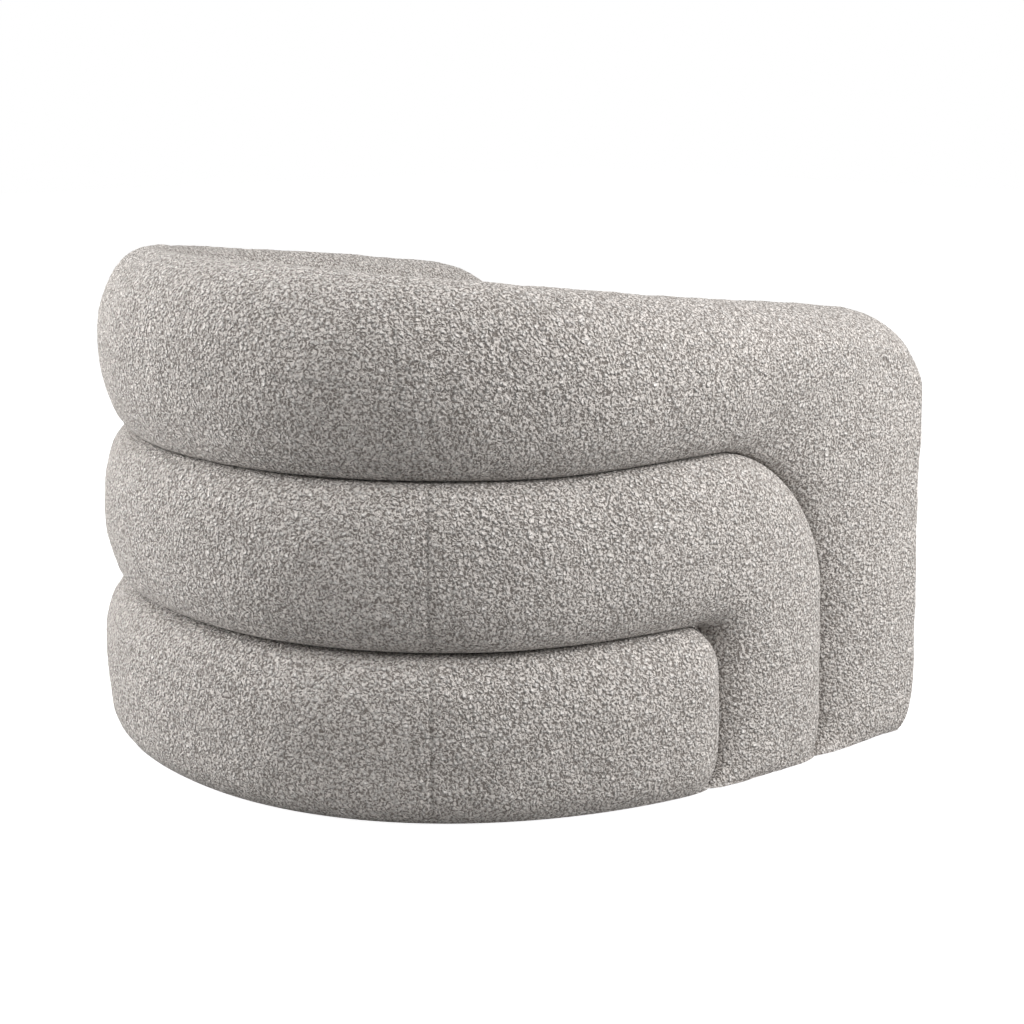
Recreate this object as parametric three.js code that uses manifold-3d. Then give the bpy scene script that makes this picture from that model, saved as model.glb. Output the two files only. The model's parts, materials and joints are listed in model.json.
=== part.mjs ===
// Tub chair with three nested channel rolls. Millimetres, +Z up, front towards -Y.
// The origin is on the floor under the middle of the chair.
//
// The wall of the tub is drawn on a sheet that is wrapped round the chair: s runs along the
// outer outline from the middle of the back to the arm's nose, z runs up, and depth runs
// inwards from the outer face. Each roll, rail and skin of the wall is drawn between lanes,
// which are nested arches on that sheet: up the arm front, round a bend, back along the
// arm, round the back and down the other arm.
import * as THREE from "three";
import { mergeVertices } from "three/addons/utils/BufferGeometryUtils.js";
import Module from "manifold-3d";

// Outline in plan
const arm_half_width = 540;
const back_reach = 624;
const back_power = 2.15;
const arm_length = 289.5;
const nose_length = 58;
const toe_in = 25;

// Heights, with the rim taken where the back meets the arms
const crease_low_height = 225;
const middle_roll_height = 222;
const crease_high_lift = 19;
const lift_run = 430;
const top_roll_height = 204;
const rim_slope_share = 0.113;

// Rolls
const front_leg_width = 227;
const middle_leg_width = 207;
const low_bend = { run: 56, fall: 88 };
const high_bend = { run: 260, fall: 250 };
const rim_bend = { run: 160, fall: 105 };
const seam_bend = { run: 56, fall: 56 };
const bend_power = 2.15;
const crease_depth = 51;
const roll_power = 2.4;
const top_power = 1.9;
const rim_round = 103;
const rim_crest_share = 0.6;
const nose_round = 58;
const nose_foot = 56;
const nose_rise = 75;
const nose_power = 1.8;
const foot_round = 26;
const foot_rise = 45;
const foot_point_shares = [0, 0.22, 0.55, 1, 1.67];
const foot_power = 2.2;
const foot_tuck = 14;
const arm_foot_tuck = 3;
const foot_flare = 10;
const flare_run = 150;
const skirt_tuck = 15;
const low_belly = 8;
const roll_thickness = 66;
const wall_thickness = 138;
const leg_bulge_share = 0.7;
const back_bulge_share = 0.95;
const seam_drop = 150;
const seam_round = 9;
const back_rake = 45;

// Frame
const skin_thickness = 3;
const frame_depth = 29;
const rim_pad = 60;
const rail_height = 40;
const crease_rail_height = 30;
const post_width = 40;
const post_place_shares = [0, 0.367, 0.633, 0.9];
const lap_growth_share = 0.5;
const board = 18;
const base_border = 105;
const seat_border = 130;
const front_bar = 80;
const deck_height = 250;
const ledger_height = 40;
const ledger_reach = 28;

// Seat
const border_setback = 26;
const border_round = 12;
const border_bulge = 5;
const border_bow_share = 0.75;
const border_edge_share = 0.33;
const cushion_setback = 14;
const cushion_corner = 46;
const cushion_edge = 26;
const cushion_height = 162;
const cushion_crown = 20;
const crown_draw_shares = [0.08, 0.2, 0.36, 0.56, 0.78];
const cushion_foot_shares = [
  { rise: 0, inset: 0.5 },
  { rise: 0.33, inset: 0.12 },
  { rise: 1, inset: 0 },
];
const cushion_shoulder_shares = [
  { rise: -0.5, inset: 0 },
  { rise: 0.25, inset: 0.17 },
  { rise: 0.75, inset: 0.5 },
  { rise: 1, inset: 1 },
];
const felt_thickness = 5;
const strap_width = 50;
const strap_thickness = 2;
const strap_ramp = 7;
const strap_landing = 34;
const long_place_shares = [-0.8, -0.4, 0, 0.4, 0.8];
const cross_place_shares = [0.15, 0.34, 0.53, 0.72];

// Floor contact
const glide_height = 6;
const glide_radius = 16;
const glide_rim = 1.5;
const glide_place_shares = [0.28, 0.82];
const glide_front_inset = 96;
const glide_depth = 120;
const nail_radius = 1.6;
const nail_length = 16;
const cloth = 0.8;
const cover_reach = 26;

// Clearances
const gap = 0.3;
const soft_gap = 0.8;
const back_relief = 1;
const overrun = 12;
const weld_share = 0.001;

// Steps of the faceted surfaces
const bend_steps = 7;
const bend_step_power = 1.25;
const arm_steps = 6;
const back_steps = 15;
const profile_steps = 4;
const round_steps = 8;
const back_shares = [0, 0.25, 0.5, 0.75, 1];
const glide_sides = 14;
const nail_sides = 8;
const outline_samples = 600;
const search_steps = 40;

const wasm = await Module();
wasm.setup();

const crease_high_height = crease_low_height + middle_roll_height;
const rim_height = crease_high_height + top_roll_height;
const base_level = glide_height + gap + cloth + gap;
const base_top = base_level + board;
const skin_depth = roll_thickness + soft_gap;
const frame_outer = skin_depth + skin_thickness + soft_gap;
const frame_inner = frame_outer + frame_depth;
const lining_skin_depth = frame_inner + soft_gap;
const lining_depth = lining_skin_depth + skin_thickness + soft_gap;
const half_lap = (frame_outer + frame_inner) / 2;
const nose_y = -(arm_length + nose_length);
const frame_front_y = nose_y + rim_pad;
const seat_front_y = nose_y + cushion_setback;
const middle_y = (back_reach + low_belly + nose_y) / 2;
const leg_pair_width = front_leg_width + middle_leg_width;

// Outer outline of the right half. Round the back it is a superellipse, measured along its
// length. Along the arm, which leans in towards its nose, it is measured along Y.
const outline = (() => {
  const points = [];
  for (let i = 0; i <= outline_samples; i += 1) {
    const turn = ((i / outline_samples) * Math.PI) / 2;
    const across = Math.sin(turn);
    const back = i < outline_samples ? Math.cos(turn) : 0;
    const slope_x = back ** (2 - 2 / back_power) / back_reach;
    const slope_y = across ** (2 - 2 / back_power) / arm_half_width;
    const size = Math.hypot(slope_x, slope_y);
    const point = {
      x: arm_half_width * across ** (2 / back_power),
      y: back_reach * back ** (2 / back_power),
      nx: slope_y / size,
      ny: slope_x / size,
      s: 0,
    };
    const before = points[i - 1];
    if (before) point.s = before.s + Math.hypot(point.x - before.x, point.y - before.y);
    points.push(point);
  }
  return points;
})();
const quarter_run = outline[outline.length - 1].s;
const half_run = quarter_run - nose_y;

function run_at_y(y) {
  return quarter_run - y;
}

// Plan position at s and depth, in the chair's own plan before it is centred on the origin
function plan(s, depth) {
  const run = Math.abs(s);
  const side = s < 0 ? -1 : 1;
  if (run >= quarter_run) {
    const y = quarter_run - run;
    return { x: side * (arm_half_width - toe_in * (y / nose_y) ** 2 - depth), y };
  }
  let low = 0;
  let high = outline.length - 1;
  while (high - low > 1) {
    const mid = (low + high) >> 1;
    if (outline[mid].s <= run) low = mid;
    else high = mid;
  }
  const a = outline[low];
  const b = outline[high];
  const share = (run - a.s) / (b.s - a.s);
  const mix = (key) => a[key] + (b[key] - a[key]) * share;
  return { x: side * (mix("x") - mix("nx") * depth), y: mix("y") - mix("ny") * depth };
}

// Above the high crease everything rises towards the back, up to the rim's full slope
function lift(y, z) {
  const share = (z - crease_high_height) / (rim_height - crease_high_height);
  return z + rim_slope_share * y * Math.min(Math.max(share, 0), 1);
}

function at(s, z, depth) {
  const { x, y } = plan(s, depth);
  return new THREE.Vector3(x, y - middle_y, lift(y, z));
}

function flat(x, y, z) {
  return new THREE.Vector3(x, y - middle_y, z);
}

// Quarter of a superellipse: 0 in the middle of a roll, 1 at the crease
function drop(share, power = roll_power) {
  const t = Math.min(Math.max(share, 0), 1);
  return 1 - (1 - t ** power) ** (1 / power);
}

// Shares from 1 at a crease to 0 in the middle of a roll
function profile(power) {
  const shares = Array.from({ length: profile_steps }, (_, i) => {
    const turn = ((i / profile_steps) * Math.PI) / 2;
    return Math.cos(turn) ** (2 / power);
  });
  return [...shares, 0];
}

// Places across a whole roll, from one crease to the other
const roll_profile = profile(roll_power);
const roll_shares = roll_profile
  .map((t) => (1 - t) / 2)
  .concat(roll_profile.slice(0, -1).reverse().map((t) => (1 + t) / 2));

function smooth(share) {
  const t = Math.min(Math.max(share, 0), 1);
  return t * t * (3 - 2 * t);
}

// Rise of a cushion's crown: 0 at its edge, 1 in its middle, level there
function dome(share) {
  return 1 - (1 - share) ** 2;
}

// The inner face leans forward at the back, fully at seat level and not at all at the rim
function inner_face(s, z) {
  const round = Math.cos((Math.min(Math.abs(s) / quarter_run, 1) * Math.PI) / 2) ** 2;
  const seat_top = deck_height + cushion_height;
  const top = rim_height - rim_round;
  return wall_thickness + back_rake * round * smooth((top - z) / (top - seat_top));
}

const back_end = half_run - leg_pair_width - low_bend.run - post_width;
const back_runs = Array.from(
  { length: back_steps + 1 },
  (_, i) => (back_end * (back_steps - i)) / back_steps,
);

// A lane is a list of (s, z) from the right foot over the back to the left foot. Behind its
// bend it runs higher by its rise, which eases out along the arm and the back.
function lane(inset, height, bend, rise = 0) {
  const front = half_run - inset;
  const behind = front - bend.run;
  const leg_top = height + rise - bend.fall;
  const points = foot_point_shares.map((share) => ({ s: front, z: base_level + foot_rise * share }));
  const start = base_level + foot_rise;
  points.push({ s: front, z: (start + leg_top) / 2 }, { s: front, z: leg_top });
  for (let i = 1; i <= bend_steps; i += 1) {
    const turn = ((1 - (1 - i / bend_steps) ** bend_step_power) * Math.PI) / 2;
    const along = i < bend_steps ? Math.cos(turn) ** (2 / bend_power) : 0;
    const up = Math.sin(turn) ** (2 / bend_power);
    points.push({ s: behind + bend.run * along, z: leg_top + bend.fall * up });
  }
  const arm_runs = Array.from({ length: arm_steps }, (_, i) => {
    return behind + ((back_end - behind) * (i + 1)) / arm_steps;
  });
  arm_runs.concat(back_runs.slice(1)).forEach((s) => {
    points.push({ s, z: height + rise * (1 - smooth((behind - s) / lift_run)) });
  });
  const mirrored = points.slice(0, -1).reverse().map(({ s, z }) => ({ s: -s, z }));
  return points.concat(mirrored);
}

function tighter(bend, by) {
  return { run: bend.run - by, fall: bend.fall - by };
}

const low_lane = lane(leg_pair_width, crease_low_height, low_bend);
const high_lane = lane(front_leg_width, crease_high_height, high_bend, crease_high_lift);
const rim_lane = lane(0, rim_height, rim_bend);
const seam_lane = lane(seam_drop, rim_height - seam_drop, seam_bend);
const edge_lane = lane(rim_pad, rim_height - rim_pad, tighter(rim_bend, rim_pad));
const leg_points = foot_point_shares.length + 2;
const side_points = leg_points + bend_steps + arm_steps;
const lane_points = rim_lane.length;
const middle_point = Math.floor(lane_points / 2);

function between(a, b, share) {
  return { s: a.s + (b.s - a.s) * share, z: a.z + (b.z - a.z) * share };
}

function span(a, b) {
  return Math.hypot(b.s - a.s, b.z - a.z);
}

function towards(a, b, distance) {
  return between(a, b, distance / span(a, b));
}

// Closed body through rings of points, with its two end faces filled
function loft(rings) {
  const count = rings[0].length;
  const positions = rings.flat().flatMap((point) => [point.x, point.y, point.z]);
  const faces = [];
  for (let i = 0; i < rings.length - 1; i += 1) {
    for (let j = 0; j < count; j += 1) {
      const next = (j + 1) % count;
      const a = i * count + j;
      const b = i * count + next;
      faces.push([a, b, b + count], [a, b + count, a + count]);
    }
  }
  cap(rings[0]).forEach(([a, b, c]) => faces.push([a, c, b]));
  const last = (rings.length - 1) * count;
  cap(rings[rings.length - 1]).forEach(([a, b, c]) => faces.push([last + a, last + b, last + c]));
  return body(positions, faces);
}

function cap(ring) {
  const normal = new THREE.Vector3();
  ring.forEach((a, i) => {
    const b = ring[(i + 1) % ring.length];
    normal.x += (a.y - b.y) * (a.z + b.z);
    normal.y += (a.z - b.z) * (a.x + b.x);
    normal.z += (a.x - b.x) * (a.y + b.y);
  });
  normal.normalize();
  const helper = Math.abs(normal.z) > 0.9 ? new THREE.Vector3(1, 0, 0) : new THREE.Vector3(0, 0, 1);
  const across = new THREE.Vector3().crossVectors(helper, normal).normalize();
  const up = new THREE.Vector3().crossVectors(normal, across);
  const flat_ring = ring.map((point) => new THREE.Vector2(point.dot(across), point.dot(up)));
  return THREE.ShapeUtils.triangulateShape(flat_ring, []);
}

function body(positions, faces) {
  let volume = 0;
  const corner = (i) => new THREE.Vector3(...positions.slice(3 * i, 3 * i + 3));
  faces.forEach(([a, b, c]) => {
    volume += corner(a).dot(corner(b).cross(corner(c)));
  });
  const wound = volume < 0 ? faces.map(([a, b, c]) => [a, c, b]) : faces;
  const geometry = new THREE.BufferGeometry();
  geometry.setAttribute("position", new THREE.Float32BufferAttribute(positions, 3));
  geometry.setIndex(wound.flat());
  return geometry;
}

function to_solid(geometry) {
  const bare = geometry.clone();
  bare.deleteAttribute("normal");
  bare.deleteAttribute("uv");
  const merged = mergeVertices(bare, gap * weld_share);
  return new wasm.Manifold(
    new wasm.Mesh({
      numProp: 3,
      vertProperties: new Float32Array(merged.attributes.position.array),
      triVerts: new Uint32Array(merged.index.array),
    }),
  );
}

function to_geometry(solid) {
  const mesh = solid.getMesh();
  const geometry = new THREE.BufferGeometry();
  geometry.setAttribute("position", new THREE.BufferAttribute(new Float32Array(mesh.vertProperties), 3));
  geometry.setIndex(new THREE.BufferAttribute(new Uint32Array(mesh.triVerts), 1));
  return geometry;
}

function cut(geometry, cutters) {
  const whole = cutters.reduce((solid, cutter) => solid.subtract(to_solid(cutter)), to_solid(geometry));
  return to_geometry(whole);
}

// Upholstery: the three rolls, the lining, the seat and its border
function foot(z) {
  return foot_round * drop((base_level + foot_round - z) / foot_round);
}

// How far the nose of an arm is drawn back at its foot
function nose(z) {
  return nose_foot * drop((base_level + nose_rise - z) / nose_rise, nose_power);
}

// How far an arm's outer face stands out of the plan, which grows towards the floor
function flare(s, z) {
  const ahead = Math.max(Math.abs(s) - quarter_run, 0);
  const reach = toe_in * (ahead / nose_y) ** 2 + foot_flare * smooth(ahead / flare_run);
  return reach * (1 - Math.min(z / rim_height, 1));
}

// Depth of a roll's outer face, drawn to one sharp edge at the foot for all the rolls
function outer_face(s, z, depth) {
  const share = Math.min(Math.max((base_level + foot_rise - z) / foot_rise, 0), 1);
  const arm_share = smooth((2 * Math.abs(s)) / quarter_run - 1);
  const sole = foot_tuck + (arm_foot_tuck - foot_tuck) * arm_share;
  return depth + (sole - depth) * share ** foot_power - flare(s, z);
}

function middle_roll() {
  const rings = low_lane.map((inner, i) => {
    const outer = high_lane[i];
    const hold = soft_gap / 2 / span(inner, outer);
    const ring = roll_shares.map((share) => {
      const { s, z } = between(inner, outer, Math.min(Math.max(share, hold), 1 - hold));
      return at(s, z, outer_face(s, z, crease_depth * drop(Math.abs(2 * share - 1))));
    });
    const top = between(inner, outer, 1 - hold);
    const bottom = between(inner, outer, hold);
    back_shares.forEach((share) => {
      const { s, z } = between(top, bottom, share);
      ring.push(at(s, z, roll_thickness));
    });
    return ring;
  });
  return loft(rings);
}

// Distance from the bottom roll's edge, at a distance behind its front and below its top
function low_edge_distance(behind, below) {
  const right = 1 - behind / low_bend.run;
  const up = 1 - below / low_bend.fall;
  if (right <= 0 || up <= 0) return right > up ? behind : below;
  const slope = Math.atan2(up, right);
  const limit = (Math.cos(slope) ** bend_power + Math.sin(slope) ** bend_power) ** (-1 / bend_power);
  const reach = low_bend.run + ((low_bend.fall - low_bend.run) * slope) / (Math.PI / 2);
  return (limit - Math.hypot(right, up)) * reach;
}

function bottom_roll() {
  const half = (crease_low_height - base_level) / 2;
  const front = half_run - leg_pair_width;
  const rings = low_lane.slice(leg_points - 1, lane_points - leg_points + 1).map((crest) => {
    const end = front - Math.abs(crest.s);
    const side = Math.sign(crest.s);
    const s = end < soft_gap / 2 ? crest.s - side * (soft_gap / 2 - end) : crest.s;
    const height = crest.z - soft_gap / 2 - base_level;
    const ring = roll_shares.map((share) => {
      const z = base_level + height * share;
      const crease = crease_depth * drop(1 - low_edge_distance(end, crease_low_height - z) / half);
      const skirt = skirt_tuck * drop(1 - (z - base_level) / half);
      const depth = Math.min(Math.hypot(crease, skirt), crease_depth);
      return at(s, z, outer_face(s, z, depth - low_belly * (1 - depth / crease_depth)));
    });
    ring.push(at(s, base_level + height, roll_thickness), at(s, base_level, roll_thickness));
    return ring;
  });
  return loft(rings);
}

// The top roll's back stands a little forward of the outer skin, because its long facets
// sag towards it where the lane bends
function top_roll() {
  const rings = rim_lane.map((rim, i) => {
    const crease = high_lane[i];
    const seam = seam_lane[i];
    const edge = edge_lane[i];
    const width = span(crease, rim);
    const hold = soft_gap / 2;
    const climb = smooth((Math.min(i, lane_points - 1 - i) - leg_points) / bend_steps);
    const round = nose_round + (rim_round - nose_round) * climb;
    const bulge = (width - round) * (leg_bulge_share + (back_bulge_share - leg_bulge_share) * climb);
    const ring = [];
    const push = ({ s, z }, depth) => {
      const face_share = 1 - smooth(depth / roll_thickness);
      const shallow = depth + (outer_face(s, z, depth) - depth) * face_share;
      const deep = Math.max(depth - foot(z), lining_depth + soft_gap);
      ring.push(at(s, z, depth > half_lap ? deep : shallow));
    };
    profile(top_power).forEach((t) => {
      push(towards(crease, rim, Math.max(bulge * (1 - t), hold)), crease_depth * drop(t, top_power));
    });
    for (let k = 0; k <= round_steps; k += 1) {
      const turn = (k / round_steps) * Math.PI;
      const outer = turn < Math.PI / 2;
      const from_rim = round * (1 - Math.sin(turn)) + nose(rim.z) * Math.sin(turn);
      const spot = towards(rim, outer ? crease : seam, from_rim);
      const reach_share = outer ? rim_crest_share : 1 - rim_crest_share;
      push(spot, inner_face(spot.s, spot.z) * (rim_crest_share - reach_share * Math.cos(turn)));
    }
    const lip = towards(seam, rim, hold);
    const above = towards(seam, rim, hold + seam_round);
    push(above, inner_face(above.s, above.z));
    push(lip, inner_face(lip.s, lip.z) - seam_round / 2);
    ring.push(at(lip.s, lip.z, lining_depth), at(edge.s, edge.z, lining_depth));
    const low = towards(crease, rim, hold);
    back_shares.forEach((share) => {
      const { s, z } = between(edge, low, share);
      ring.push(at(s, z, roll_thickness - back_relief));
    });
    return ring;
  });
  const below_deck = plate({ depth: () => frame_inner + soft_gap, front: frame_front_y - soft_gap });
  return cut(loft(rings), [prism(below_deck, -overrun, deck_height + gap)]);
}

// Stations along the wall up to a lane's front, with the height of that lane at each
function under(a_lane) {
  return a_lane.slice(leg_points - 1, lane_points - leg_points + 1);
}

function lining() {
  const foot_level = deck_height + gap;
  const rings = under(seam_lane).map(({ s, z }) => {
    const top = z - soft_gap / 2;
    const ring = [at(s, foot_level, lining_depth), at(s, top, lining_depth)];
    ring.push(at(s, top, inner_face(s, top) - seam_round / 2));
    [top - seam_round, (top + foot_level) / 2, foot_level].forEach((height) => {
      ring.push(at(s, height, inner_face(s, height)));
    });
    return ring;
  });
  return loft(rings);
}

function skin(outer, bottom) {
  const rings = under(edge_lane).map(({ s, z }) => {
    const top = z - gap;
    return [
      at(s, bottom, outer),
      at(s, top, outer),
      at(s, top, outer + skin_thickness),
      at(s, bottom, outer + skin_thickness),
    ];
  });
  return loft(rings);
}

// Plan outline of a plate that fits in the tub, as a closed list of points in order
function plate({ depth, front, corner = 0 }) {
  const s_end = run_at_y(front + corner);
  const side = [...back_runs].reverse();
  for (let i = 1; i <= arm_steps; i += 1) {
    side.push(back_end + ((s_end - back_end) * i) / arm_steps);
  }
  const right = side.map((s) => plan(s, depth(s)));
  const end = right[right.length - 1];
  for (let i = 1; corner > 0 && i <= profile_steps; i += 1) {
    const turn = ((i / profile_steps) * Math.PI) / 2;
    right.push({ x: end.x - corner * (1 - Math.cos(turn)), y: end.y - corner * Math.sin(turn) });
  }
  const left = right.slice(1).reverse().map(({ x, y }) => ({ x: -x, y }));
  return right.concat(left);
}

function prism(points, bottom, top) {
  return loft([bottom, top].map((z) => points.map(({ x, y }) => flat(x, y, z))));
}

function seat_cushion(bottom) {
  const centre = (back_reach - wall_thickness - back_rake + seat_front_y) / 2;
  const level = (rise, inset, draw = 0) => {
    const points = plate({
      depth: (s) => inner_face(s, deck_height) + soft_gap + inset,
      front: seat_front_y + inset,
      corner: cushion_corner,
    });
    const kept = 1 - draw;
    return points.map(({ x, y }) => flat(x * kept, centre + (y - centre) * kept, bottom + rise));
  };
  const band_of = (shares, from) =>
    shares.map(({ rise, inset }) => level(from + cushion_edge * rise, cushion_edge * inset));
  const crown = crown_draw_shares.map((draw) =>
    level(cushion_height + cushion_crown * dome(draw), cushion_edge, draw),
  );
  return loft([
    ...band_of(cushion_foot_shares, 0),
    ...band_of(cushion_shoulder_shares, cushion_height - cushion_edge),
    ...crown,
  ]);
}

function front_border() {
  const face = nose_y + border_setback;
  const back = frame_front_y - soft_gap;
  const half = plan(run_at_y(face), inner_face(half_run, 0) + soft_gap).x;
  const nick = border_round * border_edge_share;
  const level = (z, inset) => {
    const front = face + inset;
    const right = [
      { x: half, y: back },
      { x: half - inset, y: front + border_round },
      { x: half - inset - nick, y: front + nick },
      { x: half - inset - border_round, y: front },
      { x: half / 2, y: front - border_bulge * border_bow_share },
    ];
    const left = right.map(({ x, y }) => ({ x: -x, y })).reverse();
    return [...right, { x: 0, y: front - border_bulge }, ...left].map(({ x, y }) => flat(x, y, z));
  };
  const top = deck_height + gap;
  return loft([
    level(base_level, border_round),
    level(base_level + nick, nick),
    level(base_level + border_round, 0),
    level(top - border_round, 0),
    level(top - nick, nick),
    level(top, border_round),
  ]);
}

// Frame: rails and formers follow the lanes, posts stand between base and rim rail
function band(inner, outer, from, to, shallow = frame_outer, deep = frame_inner) {
  const rings = [];
  for (let i = from; i <= to; i += 1) {
    const a = inner[i];
    const b = outer[i];
    rings.push([at(a.s, a.z, shallow), at(b.s, b.z, shallow), at(b.s, b.z, deep), at(a.s, a.z, deep)]);
  }
  return loft(rings);
}

function on_base(points) {
  return points.map(({ s, z }) => ({ s, z: Math.max(z, base_top + gap) }));
}

function rail_lanes(inset, height, bend, tall) {
  return [
    on_base(lane(inset + tall / 2, height - tall / 2, tighter(bend, tall / 2))),
    on_base(lane(inset - tall / 2, height + tall / 2, tighter(bend, -tall / 2))),
  ];
}

const rails = {
  lower: rail_lanes(leg_pair_width, crease_low_height, low_bend, crease_rail_height),
  upper: rail_lanes(front_leg_width, crease_high_height, high_bend, crease_rail_height),
  rim: rail_lanes(
    rim_pad + rail_height / 2 + gap,
    rim_height - rim_pad - rail_height / 2 - gap,
    tighter(rim_bend, rim_pad + rail_height / 2),
    rail_height,
  ),
};

function post_box(s, width, bottom, top, shallow, deep) {
  const ring = (z) => [
    at(s - width / 2, z, shallow),
    at(s + width / 2, z, shallow),
    at(s + width / 2, z, deep),
    at(s - width / 2, z, deep),
  ];
  return loft([ring(bottom), ring(top)]);
}

const post_runs = post_place_shares.map((share) => {
  const half_steps = 2 * Math.round(share * back_steps - 1 / 2) + 1;
  return share === 0 ? 0 : (half_steps / 2 / back_steps) * back_end;
});

function every_post() {
  return post_runs.flatMap((s) => (s === 0 ? [0] : [s, -s]));
}

function rail_back(pair, notched) {
  const first = side_points - 1;
  const last = lane_points - side_points;
  const lap = half_lap - soft_gap / 2;
  const cutters = [
    band(...grown(pair), first - 1, first + 1, lap, frame_inner + overrun),
    band(...grown(pair), last - 1, last + 1, lap, frame_inner + overrun),
  ];
  const reach = overrun + crease_rail_height;
  if (notched) {
    every_post().forEach((s) => {
      const middle = (pair[0][middle_point].z + pair[1][middle_point].z) / 2;
      const [bottom, top] = [middle - reach, middle + reach];
      cutters.push(post_box(s, post_width + 2 * gap, bottom, top, lap, frame_inner + overrun));
    });
  }
  return cut(band(...pair, first, last), cutters);
}

function grown([inner, outer]) {
  return [
    inner.map((spot, i) => between(spot, outer[i], -lap_growth_share)),
    inner.map((spot, i) => between(spot, outer[i], 1 + lap_growth_share)),
  ];
}

function arm_former(pair, side) {
  const first = side_points;
  const last = lane_points - 1 - side_points;
  const lap = half_lap + soft_gap / 2;
  const [from, to] = side > 0 ? [0, first] : [last, lane_points - 1];
  const [a, b] = side > 0 ? [first - 1, first + 1] : [last - 1, last + 1];
  const clear = band(...grown(pair), a, b, frame_outer - overrun, lap);
  return cut(band(...pair, from, to), [clear]);
}

function post(s) {
  const top = rails.rim[0][middle_point].z - gap;
  const lap = half_lap + soft_gap / 2;
  const notches = [rails.lower, rails.upper].map(([inner, outer]) => {
    const [from, to] = [inner[middle_point].z - gap, outer[middle_point].z + gap];
    return post_box(s, post_width + overrun, from, to, frame_outer - overrun, lap);
  });
  return cut(post_box(s, post_width, base_top + gap, top, frame_outer, frame_inner), notches);
}

// Plates: base, seat ring, felt and dust cover
function ring_plate(depth, border, bar, bottom, top, holes = []) {
  const outer = plate({ depth: () => depth, front: frame_front_y });
  const inner = plate({ depth: () => depth + border, front: frame_front_y + bar });
  return cut(prism(outer, bottom, top), [prism(inner, bottom - overrun, top + overrun), ...holes]);
}

const glide_spots = [half_run - glide_front_inset, ...glide_place_shares.map((share) => share * quarter_run)]
  .flatMap((s) => [s, -s])
  .map((s) => plan(s, glide_depth));

function disc(x, y, radius, bottom, top) {
  const shape = new THREE.CylinderGeometry(radius, radius, top - bottom, nail_sides);
  shape.rotateX(Math.PI / 2);
  shape.translate(x, y - middle_y, (bottom + top) / 2);
  return shape;
}

// Nail-on glide: a disc with its nail moulded in
function glide({ x, y }) {
  const points = [
    [0, 0],
    [glide_radius - glide_rim, 0],
    [glide_radius, glide_rim],
    [glide_radius, glide_height - glide_rim],
    [glide_radius - glide_rim, glide_height],
    [nail_radius, glide_height],
    [nail_radius, glide_height + nail_length - nail_radius],
    [0, glide_height + nail_length],
  ];
  const shape = new THREE.LatheGeometry(points.map(([r, z]) => new THREE.Vector2(r, z)), glide_sides);
  shape.rotateX(Math.PI / 2);
  shape.translate(x, y - middle_y, 0);
  return clean(shape);
}

function clean(geometry) {
  return to_geometry(to_solid(geometry));
}

function nail_holes(bottom, top) {
  return glide_spots.map(({ x, y }) => disc(x, y, nail_radius + gap, bottom, top));
}

// Ledger under the seat ring, fixed along the inner faces of the posts
function ledger() {
  const top = deck_height - board - gap;
  const shallow = frame_inner + gap;
  const rings = back_runs.concat(back_runs.slice(0, -1).reverse().map((s) => -s)).map((s) => [
    at(s, top - ledger_height, shallow),
    at(s, top, shallow),
    at(s, top, shallow + ledger_reach),
    at(s, top - ledger_height, shallow + ledger_reach),
  ]);
  return loft(rings);
}

function front_panel() {
  const width = plan(run_at_y(frame_front_y), frame_inner + soft_gap).x;
  const points = [
    { x: -width, y: frame_front_y },
    { x: width, y: frame_front_y },
    { x: width, y: frame_front_y + board },
    { x: -width, y: frame_front_y + board },
  ];
  return prism(points, base_top + gap, deck_height - board - gap);
}

// Elastic webbing, laced over and under, stapled to the top of the seat ring
const deck = deck_height + gap;
const strap_rise = strap_thickness + gap;
const ring_back_depth = frame_inner + soft_gap + seat_border;
const web_front = frame_front_y + front_bar;
const web_back = back_reach - ring_back_depth;
const web_half_width = plan(run_at_y(web_front), ring_back_depth).x;
const long_places = long_place_shares.map((share) => share * web_half_width);
const cross_places = cross_place_shares.map((share) => web_front + share * (web_back - web_front));

function inner_edge_x(y, depth) {
  let low = 0;
  let high = half_run;
  for (let i = 0; i < search_steps; i += 1) {
    const mid = (low + high) / 2;
    if (plan(mid, depth).y > y) low = mid;
    else high = mid;
  }
  return plan(low, depth).x;
}

function inner_edge_y(x, depth) {
  let low = 0;
  let high = quarter_run;
  for (let i = 0; i < search_steps; i += 1) {
    const mid = (low + high) / 2;
    if (plan(mid, depth).x < x) low = mid;
    else high = mid;
  }
  return plan(low, depth).y;
}

// A strap from one end to the other, raised where it passes over another
function strap(from, to, places, over, point) {
  const stations = [{ t: from, z: deck }];
  places.forEach((place, i) => {
    if (!over(i)) return;
    const half = strap_width / 2;
    [-half - strap_ramp, -half - gap, half + gap, half + strap_ramp].forEach((offset, k) => {
      stations.push({ t: place + offset, z: k === 1 || k === 2 ? deck + strap_rise : deck });
    });
  });
  stations.push({ t: to, z: deck });
  const half = strap_width / 2;
  return loft(
    stations.map(({ t, z }) => [
      point(t, -half, z),
      point(t, half, z),
      point(t, half, z + strap_thickness),
      point(t, -half, z + strap_thickness),
    ]),
  );
}

function long_strap(x, i) {
  const from = web_front - strap_landing;
  const to = inner_edge_y(Math.abs(x) + strap_width / 2, ring_back_depth) + strap_landing;
  return strap(from, to, cross_places, (j) => (i + j) % 2 === 0, (t, w, z) => flat(x + w, t, z));
}

function cross_strap(y, j) {
  const reach = Math.min(
    inner_edge_x(y - strap_width / 2, ring_back_depth),
    inner_edge_x(y + strap_width / 2, ring_back_depth),
  );
  const to = reach + strap_landing;
  return strap(-to, to, long_places, (i) => (i + j) % 2 === 1, (t, w, z) => flat(t, y - w, z));
}

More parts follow.
